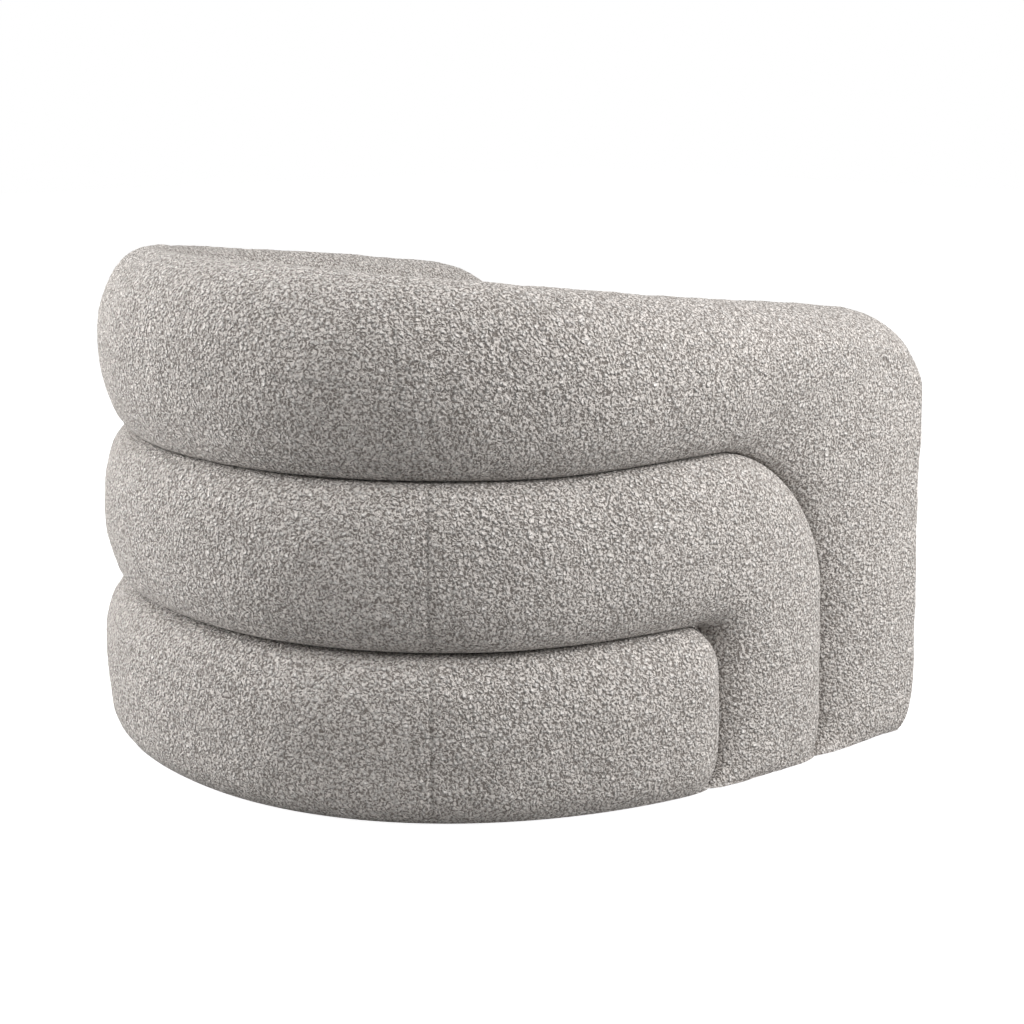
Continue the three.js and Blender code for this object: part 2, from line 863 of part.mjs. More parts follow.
const boucle = { color: 0xb7b0a8, roughness: 0.95, metalness: 0 };
const timber = { color: 0xc8a878, roughness: 0.7, metalness: 0 };
const fibreboard = { color: 0x9a7650, roughness: 0.8, metalness: 0 };
const black_cloth = { color: 0x26262a, roughness: 0.9, metalness: 0 };
const grey_felt = { color: 0x8b8b88, roughness: 0.95, metalness: 0 };
const webbing = { color: 0x5b4636, roughness: 0.85, metalness: 0 };
const black_plastic = { color: 0x1d1d1f, roughness: 0.5, metalness: 0 };

const chair = new THREE.Group();

function add(name, geometry, finish) {
  const mesh = new THREE.Mesh(geometry, new THREE.MeshStandardMaterial(finish));
  mesh.name = name;
  chair.add(mesh);
}

const side_names = [
  ["right", 1],
  ["left", -1],
];

add("top_roll", top_roll(), boucle);
add("middle_roll", middle_roll(), boucle);
add("bottom_roll", bottom_roll(), boucle);
add("inside_back", lining(), boucle);

const felt_bottom = deck + strap_rise + strap_thickness + gap;
const cushion_bottom = felt_bottom + felt_thickness + gap;
add("seat_cushion", seat_cushion(cushion_bottom), boucle);
add("front_border", front_border(), boucle);

const felt_outline = plate({
  depth: (s) => inner_face(s, deck_height) + soft_gap,
  front: frame_front_y,
});
add("deck_felt", prism(felt_outline, felt_bottom, felt_bottom + felt_thickness), grey_felt);

add("outer_skin", skin(skin_depth, base_top + gap), fibreboard);
add("inner_skin", skin(lining_skin_depth, deck_height + gap), fibreboard);

add("lower_rail_back", rail_back(rails.lower, true), timber);
add("upper_rail_back", rail_back(rails.upper, true), timber);
add("rim_rail_back", rail_back(rails.rim, false), timber);
side_names.forEach(([name, side]) => {
  add(`arm_rear_former_${name}`, arm_former(rails.lower, side), timber);
  add(`arm_middle_former_${name}`, arm_former(rails.upper, side), timber);
  add(`arm_front_former_${name}`, arm_former(rails.rim, side), timber);
});

add("back_post_centre", post(0), timber);
["back", "corner", "side"].forEach((place, i) => {
  side_names.forEach(([name, side]) => {
    add(`${place}_post_${name}`, post(side * post_runs[i + 1]), timber);
  });
});

const base_holes = nail_holes(0, base_top + overrun);
add(
  "base_panel",
  ring_plate(roll_thickness + soft_gap, base_border, base_border, base_level, base_top, base_holes),
  timber,
);
add(
  "seat_ring",
  ring_plate(frame_inner + soft_gap, seat_border, front_bar, deck_height - board, deck_height),
  timber,
);
add("seat_ledger", ledger(), timber);
add("front_panel", front_panel(), timber);

long_places.forEach((x, i) => add(`long_webbing_${i + 1}`, long_strap(x, i), webbing));
cross_places.forEach((y, j) => add(`cross_webbing_${j + 1}`, cross_strap(y, j), webbing));

const cover_outline = plate({ depth: () => roll_thickness - cover_reach, front: frame_front_y - soft_gap });
const cover = prism(cover_outline, glide_height + gap, glide_height + gap + cloth);
add("dust_cover", cut(cover, nail_holes(0, base_top)), black_cloth);

glide_spots.forEach((spot, i) => {
  const place = ["front", "back", "side"][Math.floor(i / 2)];
  add(`glide_${place}_${side_names[i % 2][0]}`, glide(spot), black_plastic);
});

export default chair;
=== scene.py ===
"""Wide tub chair, its wall wrapped in three nested channel rolls of looped, nubby cloth.

Metres, +Z up, the front towards -Y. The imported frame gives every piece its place, and each
piece here is made in that place: rolls, inside back, seat, border, felt, webbing and dust
cover stand for their plain solids, while timber, skins and glides keep theirs.
"""

import json
import logging
import math
from dataclasses import dataclass, field
from enum import Enum
from typing import Callable, Sequence

import bpy
import numpy as np
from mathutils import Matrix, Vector
from mathutils.geometry import tessellate_polygon


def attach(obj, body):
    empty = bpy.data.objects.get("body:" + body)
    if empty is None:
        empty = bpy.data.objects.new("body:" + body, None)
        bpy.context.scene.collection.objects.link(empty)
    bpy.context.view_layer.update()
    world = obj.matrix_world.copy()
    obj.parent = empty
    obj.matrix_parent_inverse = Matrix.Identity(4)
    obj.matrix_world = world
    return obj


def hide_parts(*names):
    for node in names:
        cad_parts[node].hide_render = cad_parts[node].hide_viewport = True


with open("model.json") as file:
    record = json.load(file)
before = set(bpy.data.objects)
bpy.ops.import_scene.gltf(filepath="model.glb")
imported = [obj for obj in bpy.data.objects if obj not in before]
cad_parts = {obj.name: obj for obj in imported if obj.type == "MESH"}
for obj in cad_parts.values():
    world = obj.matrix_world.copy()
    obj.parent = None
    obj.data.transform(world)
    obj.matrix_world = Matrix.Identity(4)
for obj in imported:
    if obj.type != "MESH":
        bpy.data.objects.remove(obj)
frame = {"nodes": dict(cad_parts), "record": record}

LOG = logging.getLogger("tub_chair")
BODY = "root"
MM = 0.001
GAP = 0.3 * MM
SOFT_GAP = 0.8 * MM
HAIR = 1e-6
TINY = 1e-12

Colour = tuple[float, float, float, float]
Triple = tuple[float, float, float]
Span = tuple[float, float]


class Slot(Enum):
    """The record's material slots."""

    BOUCLE = "boucle"
    TIMBER = "timber"
    FIBREBOARD = "fibreboard"
    WEBBING = "webbing"
    FELT = "felt"
    DUST_CLOTH = "dust_cloth"
    GLIDE = "glide"


class Timber(Enum):
    """How a board of the frame was cut, which sets its grain."""

    STRIP = "bent strip"
    PLY = "plywood"


# Node trees


class NodeBench:
    """One material's node tree, with a short call for each kind of node that the finishes use."""

    def __init__(self, name: str) -> None:
        """Makes the material.

        Args:
            name: the material's name.
        """
        self.material = bpy.data.materials.new(name)
        self.material.use_nodes = True
        self.nodes = self.material.node_tree.nodes
        self.links = self.material.node_tree.links
        self.surface = self.nodes["Principled BSDF"]

    def feed(self, socket: bpy.types.NodeSocket, value: object) -> None:
        """Links a socket into another, or sets the number or colour on it.

        Args:
            socket: the input.
            value: an output socket, a number, or a colour or vector.
        """
        if isinstance(value, bpy.types.NodeSocket):
            self.links.new(value, socket)
        elif value is not None:
            socket.default_value = value

    def add(self, kind: str, inputs: dict[str | int, object], **settings: object) -> bpy.types.Node:
        """Adds a node.

        Args:
            kind: the node's type.
            inputs: a value or an output socket for each input, by name or number.
            settings: the node's own settings.

        Returns:
            The node.
        """
        node = self.nodes.new(kind)
        for key, value in settings.items():
            setattr(node, key, value)
        for key, value in inputs.items():
            self.feed(node.inputs[key], value)
        return node

    def place(self) -> bpy.types.NodeSocket:
        """The point on the surface, in metres in the chair's own frame."""
        return self.add("ShaderNodeTexCoord", {}).outputs["Object"]

    def noise(
        self, vector: object, scale: float, detail: float = 2.0, rough: float = 0.5
    ) -> bpy.types.Node:
        """A noise node of a given scale per metre."""
        inputs = {"Vector": vector, "Scale": scale, "Detail": detail, "Roughness": rough}
        return self.add("ShaderNodeTexNoise", inputs)

    def cells(self, vector: object, scale: float, random: float = 1.0) -> bpy.types.Node:
        """A Voronoi node of a given number of cells per metre."""
        inputs = {"Vector": vector, "Scale": scale, "Randomness": random}
        return self.add("ShaderNodeTexVoronoi", inputs)

    def math(self, operation: str, a: object, b: object = None) -> bpy.types.NodeSocket:
        """A sum, product or other operation on one or two numbers."""
        return self.add("ShaderNodeMath", {0: a, 1: b}, operation=operation).outputs[0]

    def vector(self, operation: str, a: object, b: object) -> bpy.types.NodeSocket:
        """A sum or product of two vectors."""
        return self.add("ShaderNodeVectorMath", {0: a, 1: b}, operation=operation).outputs[0]

    def fit(
        self, value: object, low: float, high: float, to_low: float = 0.0, to_high: float = 1.0
    ) -> bpy.types.NodeSocket:
        """Maps a range of numbers smoothly to another and holds it there.

        Args:
            value: the number's socket.
            low: where the range starts.
            high: where it ends.
            to_low: what the start becomes.
            to_high: what the end becomes.

        Returns:
            The mapped number's socket.
        """
        inputs = {"Value": value, "From Min": low, "From Max": high, "To Min": to_low, "To Max": to_high}
        node = self.add("ShaderNodeMapRange", inputs, interpolation_type="SMOOTHSTEP")
        return node.outputs["Result"]

    def mix(self, share: object, a: object, b: object) -> bpy.types.NodeSocket:
        """A mix of two colours."""
        inputs = {"Fac": share, "Color1": a, "Color2": b}
        return self.add("ShaderNodeMixRGB", inputs).outputs["Color"]

    def blend(self, fine: object, coarse: object, share: float) -> bpy.types.NodeSocket:
        """A fine pattern with the rest of its strength taken by a coarse one."""
        fine, coarse = self.math("MULTIPLY", fine, share), self.math("MULTIPLY", coarse, 1 - share)
        return self.math("ADD", fine, coarse)

    def bump(self, height: object, strength: float, distance: float) -> bpy.types.NodeSocket:
        """A bump from a height, of a given strength and depth in metres."""
        inputs = {"Height": height, "Strength": strength, "Distance": distance}
        return self.add("ShaderNodeBump", inputs).outputs["Normal"]

    def warp(self, vector: object, scale: float, reach: float) -> bpy.types.NodeSocket:
        """Moves a point about by noise, so that what is drawn on it loses its regular shape.

        Args:
            vector: the point.
            scale: the noise's scale per metre.
            reach: how far the point moves, in metres.

        Returns:
            The moved point.
        """
        level = (0.5, 0.5, 0.5)
        offset = self.vector("SUBTRACT", self.noise(vector, scale, 1.0).outputs["Color"], level)
        return self.vector("ADD", vector, self.vector("MULTIPLY", offset, (2 * reach,) * 3))

    def dress(self, colour: object, roughness: object, normal: object = None) -> bpy.types.Material:
        """Feeds the surface shader.

        Args:
            colour: the base colour or its socket.
            roughness: the roughness or its socket.
            normal: the bump's socket, if there is one.

        Returns:
            The finished material.
        """
        self.feed(self.surface.inputs["Base Color"], colour)
        self.feed(self.surface.inputs["Roughness"], roughness)
        self.feed(self.surface.inputs["Normal"], normal)
        return self.material


def tone(red: int, green: int, blue: int) -> Colour:
    """A display colour, 0 to 255 each, as the linear colour that shaders take, by the usual curve."""
    linear = [((c / 255 + 0.055) / 1.055) ** 2.4 if c > 10 else c / 255 / 12.92 for c in (red, green, blue)]
    return (*linear, 1.0)


# Finishes


@dataclass(frozen=True)
class BoucleFinish:
    """Looped, nubby upholstery cloth: pale loops over darker gaps, whose colour is partly the grey base yarn
    and partly painted shade between the loops, with a soft bloom at the edges.
    """

    name: str = "boucle"
    loop: Colour = tone(232, 228, 224)
    yarn: Colour = tone(204, 198, 193)
    # This colour is partly the grey base yarn and partly painted shade: it stands in for the shadow between
    # the loops.
    gap_yarn_and_painted_shade: Colour = tone(112, 106, 101)
    loops_per_metre: float = 150.0
    loop_span: Span = (0.62, 0.10)
    uneven: float = 0.18
    yarn_per_metre: float = 330.0
    yarn_detail: float = 1.0
    yarn_rough: float = 0.6
    yarn_span: Span = (0.34, 0.66)
    yarn_on_loop: float = 0.5
    warp_share: float = 0.9
    warp_reach: float = 2.8 * MM
    loop_relief: float = 0.62
    yarn_relief: float = 0.22
    pile: float = 7.0 * MM
    roughness: float = 0.95
    gloss: float = 0.2
    sheen: float = 0.25
    sheen_roughness: float = 0.4

    def material(self) -> bpy.types.Material:
        """Builds the cloth: raised loops of uneven size over a finer, darker knit, whose dark specks are
        partly painted shade between the loops.

        Returns:
            The material.
        """
        bench = NodeBench(self.name)
        place = bench.place()
        bent = bench.warp(place, self.loops_per_metre * self.warp_share, self.warp_reach)
        cells = bench.cells(bent, self.loops_per_metre)
        chance = bench.add("ShaderNodeSeparateColor", {"Color": cells.outputs["Color"]}).outputs[0]
        away = bench.math("ADD", cells.outputs["Distance"], bench.math("MULTIPLY", chance, self.uneven))
        loops = bench.fit(away, *self.loop_span)
        strands = bench.noise(bent, self.yarn_per_metre, self.yarn_detail, self.yarn_rough)
        knit = bench.fit(strands.outputs["Fac"], *self.yarn_span)
        # The knit's darker colour is partly the base yarn and partly painted shade between the loops.
        base = bench.mix(knit, self.gap_yarn_and_painted_shade, self.yarn)
        bright = bench.mix(bench.math("MULTIPLY", knit, self.yarn_on_loop), self.loop, self.yarn)
        colour = bench.mix(loops, base, bright)
        relief = bench.math("MULTIPLY", loops, self.loop_relief)
        relief = bench.math("ADD", relief, bench.math("MULTIPLY", knit, self.yarn_relief))
        normal = bench.bump(relief, 1.0, self.pile)
        shine = {
            "Sheen Weight": self.sheen,
            "Sheen Roughness": self.sheen_roughness,
            "Sheen Tint": self.loop,
            "Specular IOR Level": self.gloss,
        }
        for socket, value in shine.items():
            bench.feed(bench.surface.inputs[socket], value)
        return bench.dress(colour, self.roughness, normal)


@dataclass(frozen=True)
class TimberFinish:
    """Bare birch, as bent strip with long grain or as plywood with its plies on edge."""

    cut: Timber = Timber.STRIP
    pale: Colour = tone(222, 196, 152)
    dark: Colour = tone(176, 138, 92)
    glue: Colour = tone(120, 84, 52)
    grain_per_metre: float = 26.0
    grain_stretch: Triple = (1.0, 0.18, 1.0)
    grain_detail: float = 6.0
    grain_rough: float = 0.65
    grain_span: Span = (0.3, 0.7)
    pores_per_metre: float = 900.0
    pore_stretch: Triple = (1.0, 0.06, 1.0)
    pore_span: Span = (0.62, 0.75)
    pore_strength: float = 0.35
    pore_relief: float = 0.25
    pore_depth: float = 0.2 * MM
    ply: float = 1.5 * MM
    ply_line: Span = (0.16, 0.05)
    ply_strength: float = 0.4
    rough_from: Span = (0.2, 0.8)
    roughness: Span = (0.6, 0.78)

    def material(self) -> bpy.types.Material:
        """Builds the wood.

        Returns:
            The material.
        """
        bench = NodeBench(f"birch_{self.cut.name.lower()}")
        place = bench.place()
        drawn = bench.vector("MULTIPLY", place, self.grain_stretch)
        grain = bench.noise(drawn, self.grain_per_metre, self.grain_detail, self.grain_rough).outputs["Fac"]
        pored = bench.vector("MULTIPLY", place, self.pore_stretch)
        pores = bench.noise(pored, self.pores_per_metre).outputs["Fac"]
        colour = bench.mix(bench.fit(grain, *self.grain_span), self.pale, self.dark)
        colour = bench.mix(bench.fit(pores, *self.pore_span, 0.0, self.pore_strength), colour, self.glue)
        if self.cut is Timber.PLY:
            height = bench.add("ShaderNodeSeparateXYZ", {"Vector": place}).outputs["Z"]
            layer = bench.math("PINGPONG", height, self.ply)
            line = bench.fit(layer, *(share * self.ply for share in self.ply_line))
            colour = bench.mix(bench.math("MULTIPLY", line, self.ply_strength), colour, self.glue)
        normal = bench.bump(pores, self.pore_relief, self.pore_depth)
        return bench.dress(colour, bench.fit(grain, *self.rough_from, *self.roughness), normal)


@dataclass(frozen=True)
class FibreboardFinish:
    """Thin pressed fibreboard, brown and faintly flecked."""

    name: str = "fibreboard"
    pale: Colour = tone(168, 130, 90)
    dark: Colour = tone(126, 92, 60)
    flecks_per_metre: float = 420.0
    fleck_detail: float = 5.0
    fleck_rough: float = 0.7
    fleck_share: float = 0.7
    clouds_per_metre: float = 14.0
    cloud_detail: float = 3.0
    shade_span: Span = (0.35, 0.65)
    roughness: float = 0.8
    relief: float = 0.4
    depth: float = 0.2 * MM

    def material(self) -> bpy.types.Material:
        """Builds the board.

        Returns:
            The material.
        """
        bench = NodeBench(self.name)
        place = bench.place()
        fleck = bench.noise(place, self.flecks_per_metre, self.fleck_detail, self.fleck_rough).outputs["Fac"]
        cloud = bench.noise(place, self.clouds_per_metre, self.cloud_detail).outputs["Fac"]
        shade = bench.fit(bench.blend(fleck, cloud, self.fleck_share), *self.shade_span)
        colour = bench.mix(shade, self.dark, self.pale)
        return bench.dress(colour, self.roughness, bench.bump(fleck, self.relief, self.depth))


@dataclass(frozen=True)
class WebbingFinish:
    """Elastic webbing: brown ribs along the strap, crossed by a fine weft, over dark furrows."""

    name: str = "webbing"
    rib: Colour = tone(124, 96, 72)
    furrow: Colour = tone(52, 38, 28)
    ribs_per_metre: float = 420.0
    rib_span: Span = (-0.7, 0.7)
    roughness: float = 0.85
    relief: float = 0.7
    depth: float = 0.4 * MM

    def material(self) -> bpy.types.Material:
        """Builds the webbing.

        Returns:
            The material.
        """
        bench = NodeBench(self.name)
        axes = bench.add("ShaderNodeSeparateXYZ", {"Vector": bench.place()})
        turn = math.tau * self.ribs_per_metre
        across = bench.math("SINE", bench.math("MULTIPLY", axes.outputs["X"], turn))
        along = bench.math("SINE", bench.math("MULTIPLY", axes.outputs["Y"], turn))
        weave = bench.math("MULTIPLY", across, along)
        colour = bench.mix(bench.fit(weave, *self.rib_span), self.furrow, self.rib)
        return bench.dress(colour, self.roughness, bench.bump(weave, self.relief, self.depth))


@dataclass(frozen=True)
class FeltFinish:
    """Grey needle felt, matted from fibres of several greys."""

    name: str = "needle_felt"
    pale: Colour = tone(158, 157, 153)
    dark: Colour = tone(98, 97, 95)
    mats_per_metre: float = 120.0
    mat_reach: float = 3.0 * MM
    fibres_per_metre: float = 760.0
    fibre_detail: float = 6.0
    fibre_rough: float = 0.75
    fibre_share: float = 0.75
    clouds_per_metre: float = 60.0
    cloud_detail: float = 3.0
    shade_span: Span = (0.36, 0.64)
    roughness: float = 0.95
    relief: float = 0.8
    depth: float = 0.7 * MM

    def material(self) -> bpy.types.Material:
        """Builds the felt.

        Returns:
            The material.
        """
        bench = NodeBench(self.name)
        place = bench.warp(bench.place(), self.mats_per_metre, self.mat_reach)
        fibre = bench.noise(place, self.fibres_per_metre, self.fibre_detail, self.fibre_rough).outputs["Fac"]
        cloud = bench.noise(place, self.clouds_per_metre, self.cloud_detail).outputs["Fac"]
        shade = bench.fit(bench.blend(fibre, cloud, self.fibre_share), *self.shade_span)
        colour = bench.mix(shade, self.dark, self.pale)
        return bench.dress(colour, self.roughness, bench.bump(fibre, self.relief, self.depth))


@dataclass(frozen=True)
class DustClothFinish:
    """Black non-woven cloth, point-bonded in a fine grid of dimples."""

    name: str = "dust_cloth"
    cloth: Colour = tone(46, 46, 49)
    dimple: Colour = tone(22, 22, 24)
    dimples_per_metre: float = 380.0
    dimple_stray: float = 0.15
    bond_span: Span = (0.16, 0.34)
    fibres_per_metre: float = 1500.0
    fibre_detail: float = 4.0
    fibre_rough: float = 0.7
    fibre_span: Span = (0.2, 0.7)
    roughness: float = 0.88
    relief: float = 0.5
    depth: float = 0.25 * MM

    def material(self) -> bpy.types.Material:
        """Builds the cloth.

        Returns:
            The material.
        """
        bench = NodeBench(self.name)
        place = bench.place()
        dots = bench.cells(place, self.dimples_per_metre, self.dimple_stray).outputs["Distance"]
        fibre = bench.noise(place, self.fibres_per_metre, self.fibre_detail, self.fibre_rough).outputs["Fac"]
        bond = bench.fit(dots, *self.bond_span)
        shade = bench.math("MULTIPLY", bond, bench.fit(fibre, *self.fibre_span))
        colour = bench.mix(shade, self.dimple, self.cloth)
        return bench.dress(colour, self.roughness, bench.bump(bond, self.relief, self.depth))


@dataclass(frozen=True)
class GlideFinish:
    """Black moulded plastic with a fine spark texture, rubbed a little smoother where it slides."""

    name: str = "moulded_plastic"
    colour: Colour = tone(34, 34, 36)
    worn: Colour = tone(58, 57, 56)
    sparks_per_metre: float = 2600.0
    spark_detail: float = 2.0
    rubs_per_metre: float = 210.0
    rub_detail: float = 4.0
    rough: float = 0.6
    worn_span: Span = (0.55, 0.8)
    worn_strength: float = 0.6
    rub_span: Span = (0.3, 0.8)
    roughness: Span = (0.52, 0.38)
    relief: float = 0.25
    depth: float = 0.1 * MM

    def material(self) -> bpy.types.Material:
        """Builds the plastic.

        Returns:
            The material.
        """
        bench = NodeBench(self.name)
        place = bench.place()
        spark = bench.noise(place, self.sparks_per_metre, self.spark_detail, self.rough).outputs["Fac"]
        rub = bench.noise(place, self.rubs_per_metre, self.rub_detail, self.rough).outputs["Fac"]
        worn = bench.fit(rub, *self.worn_span, 0.0, self.worn_strength)
        colour = bench.mix(worn, self.colour, self.worn)
        roughness = bench.fit(rub, *self.rub_span, *self.roughness)
        return bench.dress(colour, roughness, bench.bump(spark, self.relief, self.depth))


@dataclass
class Wardrobe:
    """Every finish, each made once."""

    made: dict[str, bpy.types.Material] = field(default_factory=dict)

    def stock(self) -> None:
        """Makes the materials."""
        plain = {
            Slot.BOUCLE: BoucleFinish(),
            Slot.FIBREBOARD: FibreboardFinish(),
            Slot.WEBBING: WebbingFinish(),
            Slot.FELT: FeltFinish(),
            Slot.DUST_CLOTH: DustClothFinish(),
            Slot.GLIDE: GlideFinish(),
        }
        self.made = {slot.value: finish.material() for slot, finish in plain.items()}
        for cut in Timber:
            self.made[cut.value] = TimberFinish(cut).material()

    def dress(self, piece: bpy.types.Object, key: str) -> None:
        """Gives a piece its one material.

        Args:
            piece: a mesh.
            key: the slot's value, or the timber's cut.
        """
        piece.data.materials.clear()
        piece.data.materials.append(self.made[key])

    def stand_in(self, piece: bpy.types.Object, node: str, slot: Slot) -> None:
        """Dresses a piece and lets it stand for a plain solid.

        Args:
            piece: the mesh.
            node: the solid's name.
            slot: the piece's material slot.
        """
        self.dress(piece, slot.value)
        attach(piece, BODY)
        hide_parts(node)


# Shapes


def smooth(share: np.ndarray | float) -> np.ndarray:
    """Eases a share from 0 to 1, level at both ends."""
    held = np.clip(share, 0.0, 1.0)
    return held * held * (3 - 2 * held)


def crowded(
    plain: np.ndarray, seam: float, reach: float = 10 * MM, count: int = 17, clear: float = 0.5 * MM
) -> np.ndarray:
    """Stations along a run, with a close row across a seam in place of the plain ones there.

    Args:
        plain: the plain stations.
        seam: where the seam lies.
        reach: how far the close row goes to either side.
        count: how many stations the close row has.
        clear: how far the plain stations keep from the close row.

    Returns:
        The stations, unsorted.
    """
    close = seam + np.linspace(-reach, reach, count)
    kept = plain[np.abs(plain - seam) > reach + clear]
    return np.concatenate([kept, close])


def mirrored_plan(x: np.ndarray, y: np.ndarray, count: int) -> tuple[np.ndarray, np.ndarray]:
    """Closes one half of an outline: straight across its front, then back along the other side.

    Args:
        x: the half's places across.
        y: its places along.
        count: how many points lie on the straight front.

    Returns:
        The whole outline's x and y.
    """
    across = np.linspace(1.0, 0.0, count)[1:]
    x, y = np.concatenate([x, x[-1] * across]), np.concatenate([y, np.full(len(across), y[-1])])
    return np.concatenate([x, -x[1:-1][::-1]]), np.concatenate([y, y[1:-1][::-1]])


def waves(
    points: np.ndarray, length: float, seed: int, count: int = 28, spread: Span = (0.7, 1.7)
) -> np.ndarray:
    """A smooth random swell through space, as a sum of plane waves.

    Args:
        points: points in metres, in rows.
        length: the usual wavelength in metres.
        seed: the random seed.
        count: how many waves.
        spread: the shortest and longest wave, as shares of the usual one.

    Returns:
        The swell at each point, mostly between -1.5 and 1.5.
    """
    source = np.random.default_rng(seed)
    heading = source.normal(size=(3, count))
    heading /= np.linalg.norm(heading, axis=0)
    pace = math.tau / (length * source.uniform(*spread, count))
    phase = source.uniform(0.0, math.tau, count)
    return np.sin(points @ (heading * pace) + phase).sum(-1) / math.sqrt(count / 2)


def grid_normals(grid: np.ndarray) -> np.ndarray:
    """Unit normals of a grid of points whose rows close on themselves.

    Args:
        grid: rings by points by three.

    Returns:
        A normal for each point.
    """
    along = np.gradient(grid, axis=0)
    across = (np.roll(grid, -1, axis=1) - np.roll(grid, 1, axis=1)) / 2
    normal = np.cross(along, across)
    length = np.linalg.norm(normal, axis=-1, keepdims=True)
    return normal / np.maximum(length, TINY)


def new_piece(name: str, points: np.ndarray, faces: Sequence[Sequence[int]]) -> bpy.types.Object:
    """A smooth-shaded mesh object, with its faces turned outwards.

    Args:
        name: the piece's name.
        points: its corners, in rows.
        faces: the corners of each face.

    Returns:
        The object, linked into the scene.
    """
    mesh = bpy.data.meshes.new(name)
    mesh.from_pydata(points.tolist(), [], faces)
    mesh.update()
    mesh.shade_smooth()
    piece = bpy.data.objects.new(name, mesh)
    bpy.context.scene.collection.objects.link(piece)
    if volume_of(mesh) < 0:
        mesh.flip_normals()
    return piece


def volume_of(mesh: bpy.types.Mesh) -> float:
    """Six times the volume that a closed mesh holds, below zero where it is inside out.

    Args:
        mesh: the mesh.

    Returns:
        The sixfold volume in cubic metres.
    """
    mesh.calc_loop_triangles()
    corners = np.zeros(len(mesh.loop_triangles) * 3, np.int32)
    mesh.loop_triangles.foreach_get("vertices", corners)
    a, b, c = np.moveaxis(points_of(mesh)[corners].reshape(-1, 3, 3), 1, 0)
    return float(np.einsum("ij,ij->i", a, np.cross(b, c)).sum())


def points_of(mesh: bpy.types.Mesh) -> np.ndarray:
    """A mesh's corners.

    Args:
        mesh: the mesh.

    Returns:
        The corners, in rows.
    """
    flat = np.zeros(len(mesh.vertices) * 3)
    mesh.vertices.foreach_get("co", flat)
    return flat.reshape(-1, 3)


def set_points(mesh: bpy.types.Mesh, points: np.ndarray) -> None:
    """Moves a mesh's corners."""
    mesh.vertices.foreach_set("co", points.ravel())
    mesh.update()


def tube_piece(name: str, grid: np.ndarray) -> bpy.types.Object:
    """A closed body through rings of points, with its two ends filled.

    Args:
        name: the piece's name.
        grid: rings by points by three, each ring closed.

    Returns:
        The object.
    """
    rings, count, _ = grid.shape
    row = np.arange(rings - 1)[:, None] * count
    here = np.arange(count)[None, :]
    after = (here + 1) % count
    quads = np.stack([row + here, row + after, row + after + count, row + here + count], -1)
    faces = quads.reshape(-1, 4).tolist()
    for start, turned in ((0, True), ((rings - 1) * count, False)):
        ring = [Vector(point) for point in grid[start // count]]
        for a, b, c in tessellate_polygon([ring]):
            faces.append([start + a, start + c, start + b] if turned else [start + a, start + b, start + c])
    return new_piece(name, grid.reshape(-1, 3), faces)


def corner_limit(slope: np.ndarray, power: float) -> np.ndarray:
    """How far the edge of a rounded corner lies from its centre, in units of its own radii."""
    return (np.cos(slope) ** power + np.sin(slope) ** power) ** (-1 / power)


def bake_modifiers(piece: bpy.types.Object) -> None:
    """Turns a piece's modifiers into its mesh.

    Args:
        piece: the piece, whose mesh is replaced.
    """
    shaped = piece.evaluated_get(bpy.context.evaluated_depsgraph_get())
    mesh = bpy.data.meshes.new_from_object(shaped)
    old = piece.data
    piece.modifiers.clear()
    piece.data = mesh
    bpy.data.meshes.remove(old)
    mesh.shade_smooth()


@dataclass
class Lane:
    """An arch on the wall's sheet, from the right foot over the back to the left foot."""

    s: np.ndarray
    z: np.ndarray

    def towards(self, other: "Lane", distance: np.ndarray | float) -> "Lane":
        """The points that lie a distance from here in the direction of another lane."""
        return self.between(other, distance / self.span(other))

    def between(self, other: "Lane", share: np.ndarray | float) -> "Lane":
        """The points at a share of the way to another lane."""
        return Lane(self.s + (other.s - self.s) * share, self.z + (other.z - self.z) * share)

    def span(self, other: "Lane") -> np.ndarray:
        """The distance to another lane at each station."""
        return np.hypot(other.s - self.s, other.z - self.z)


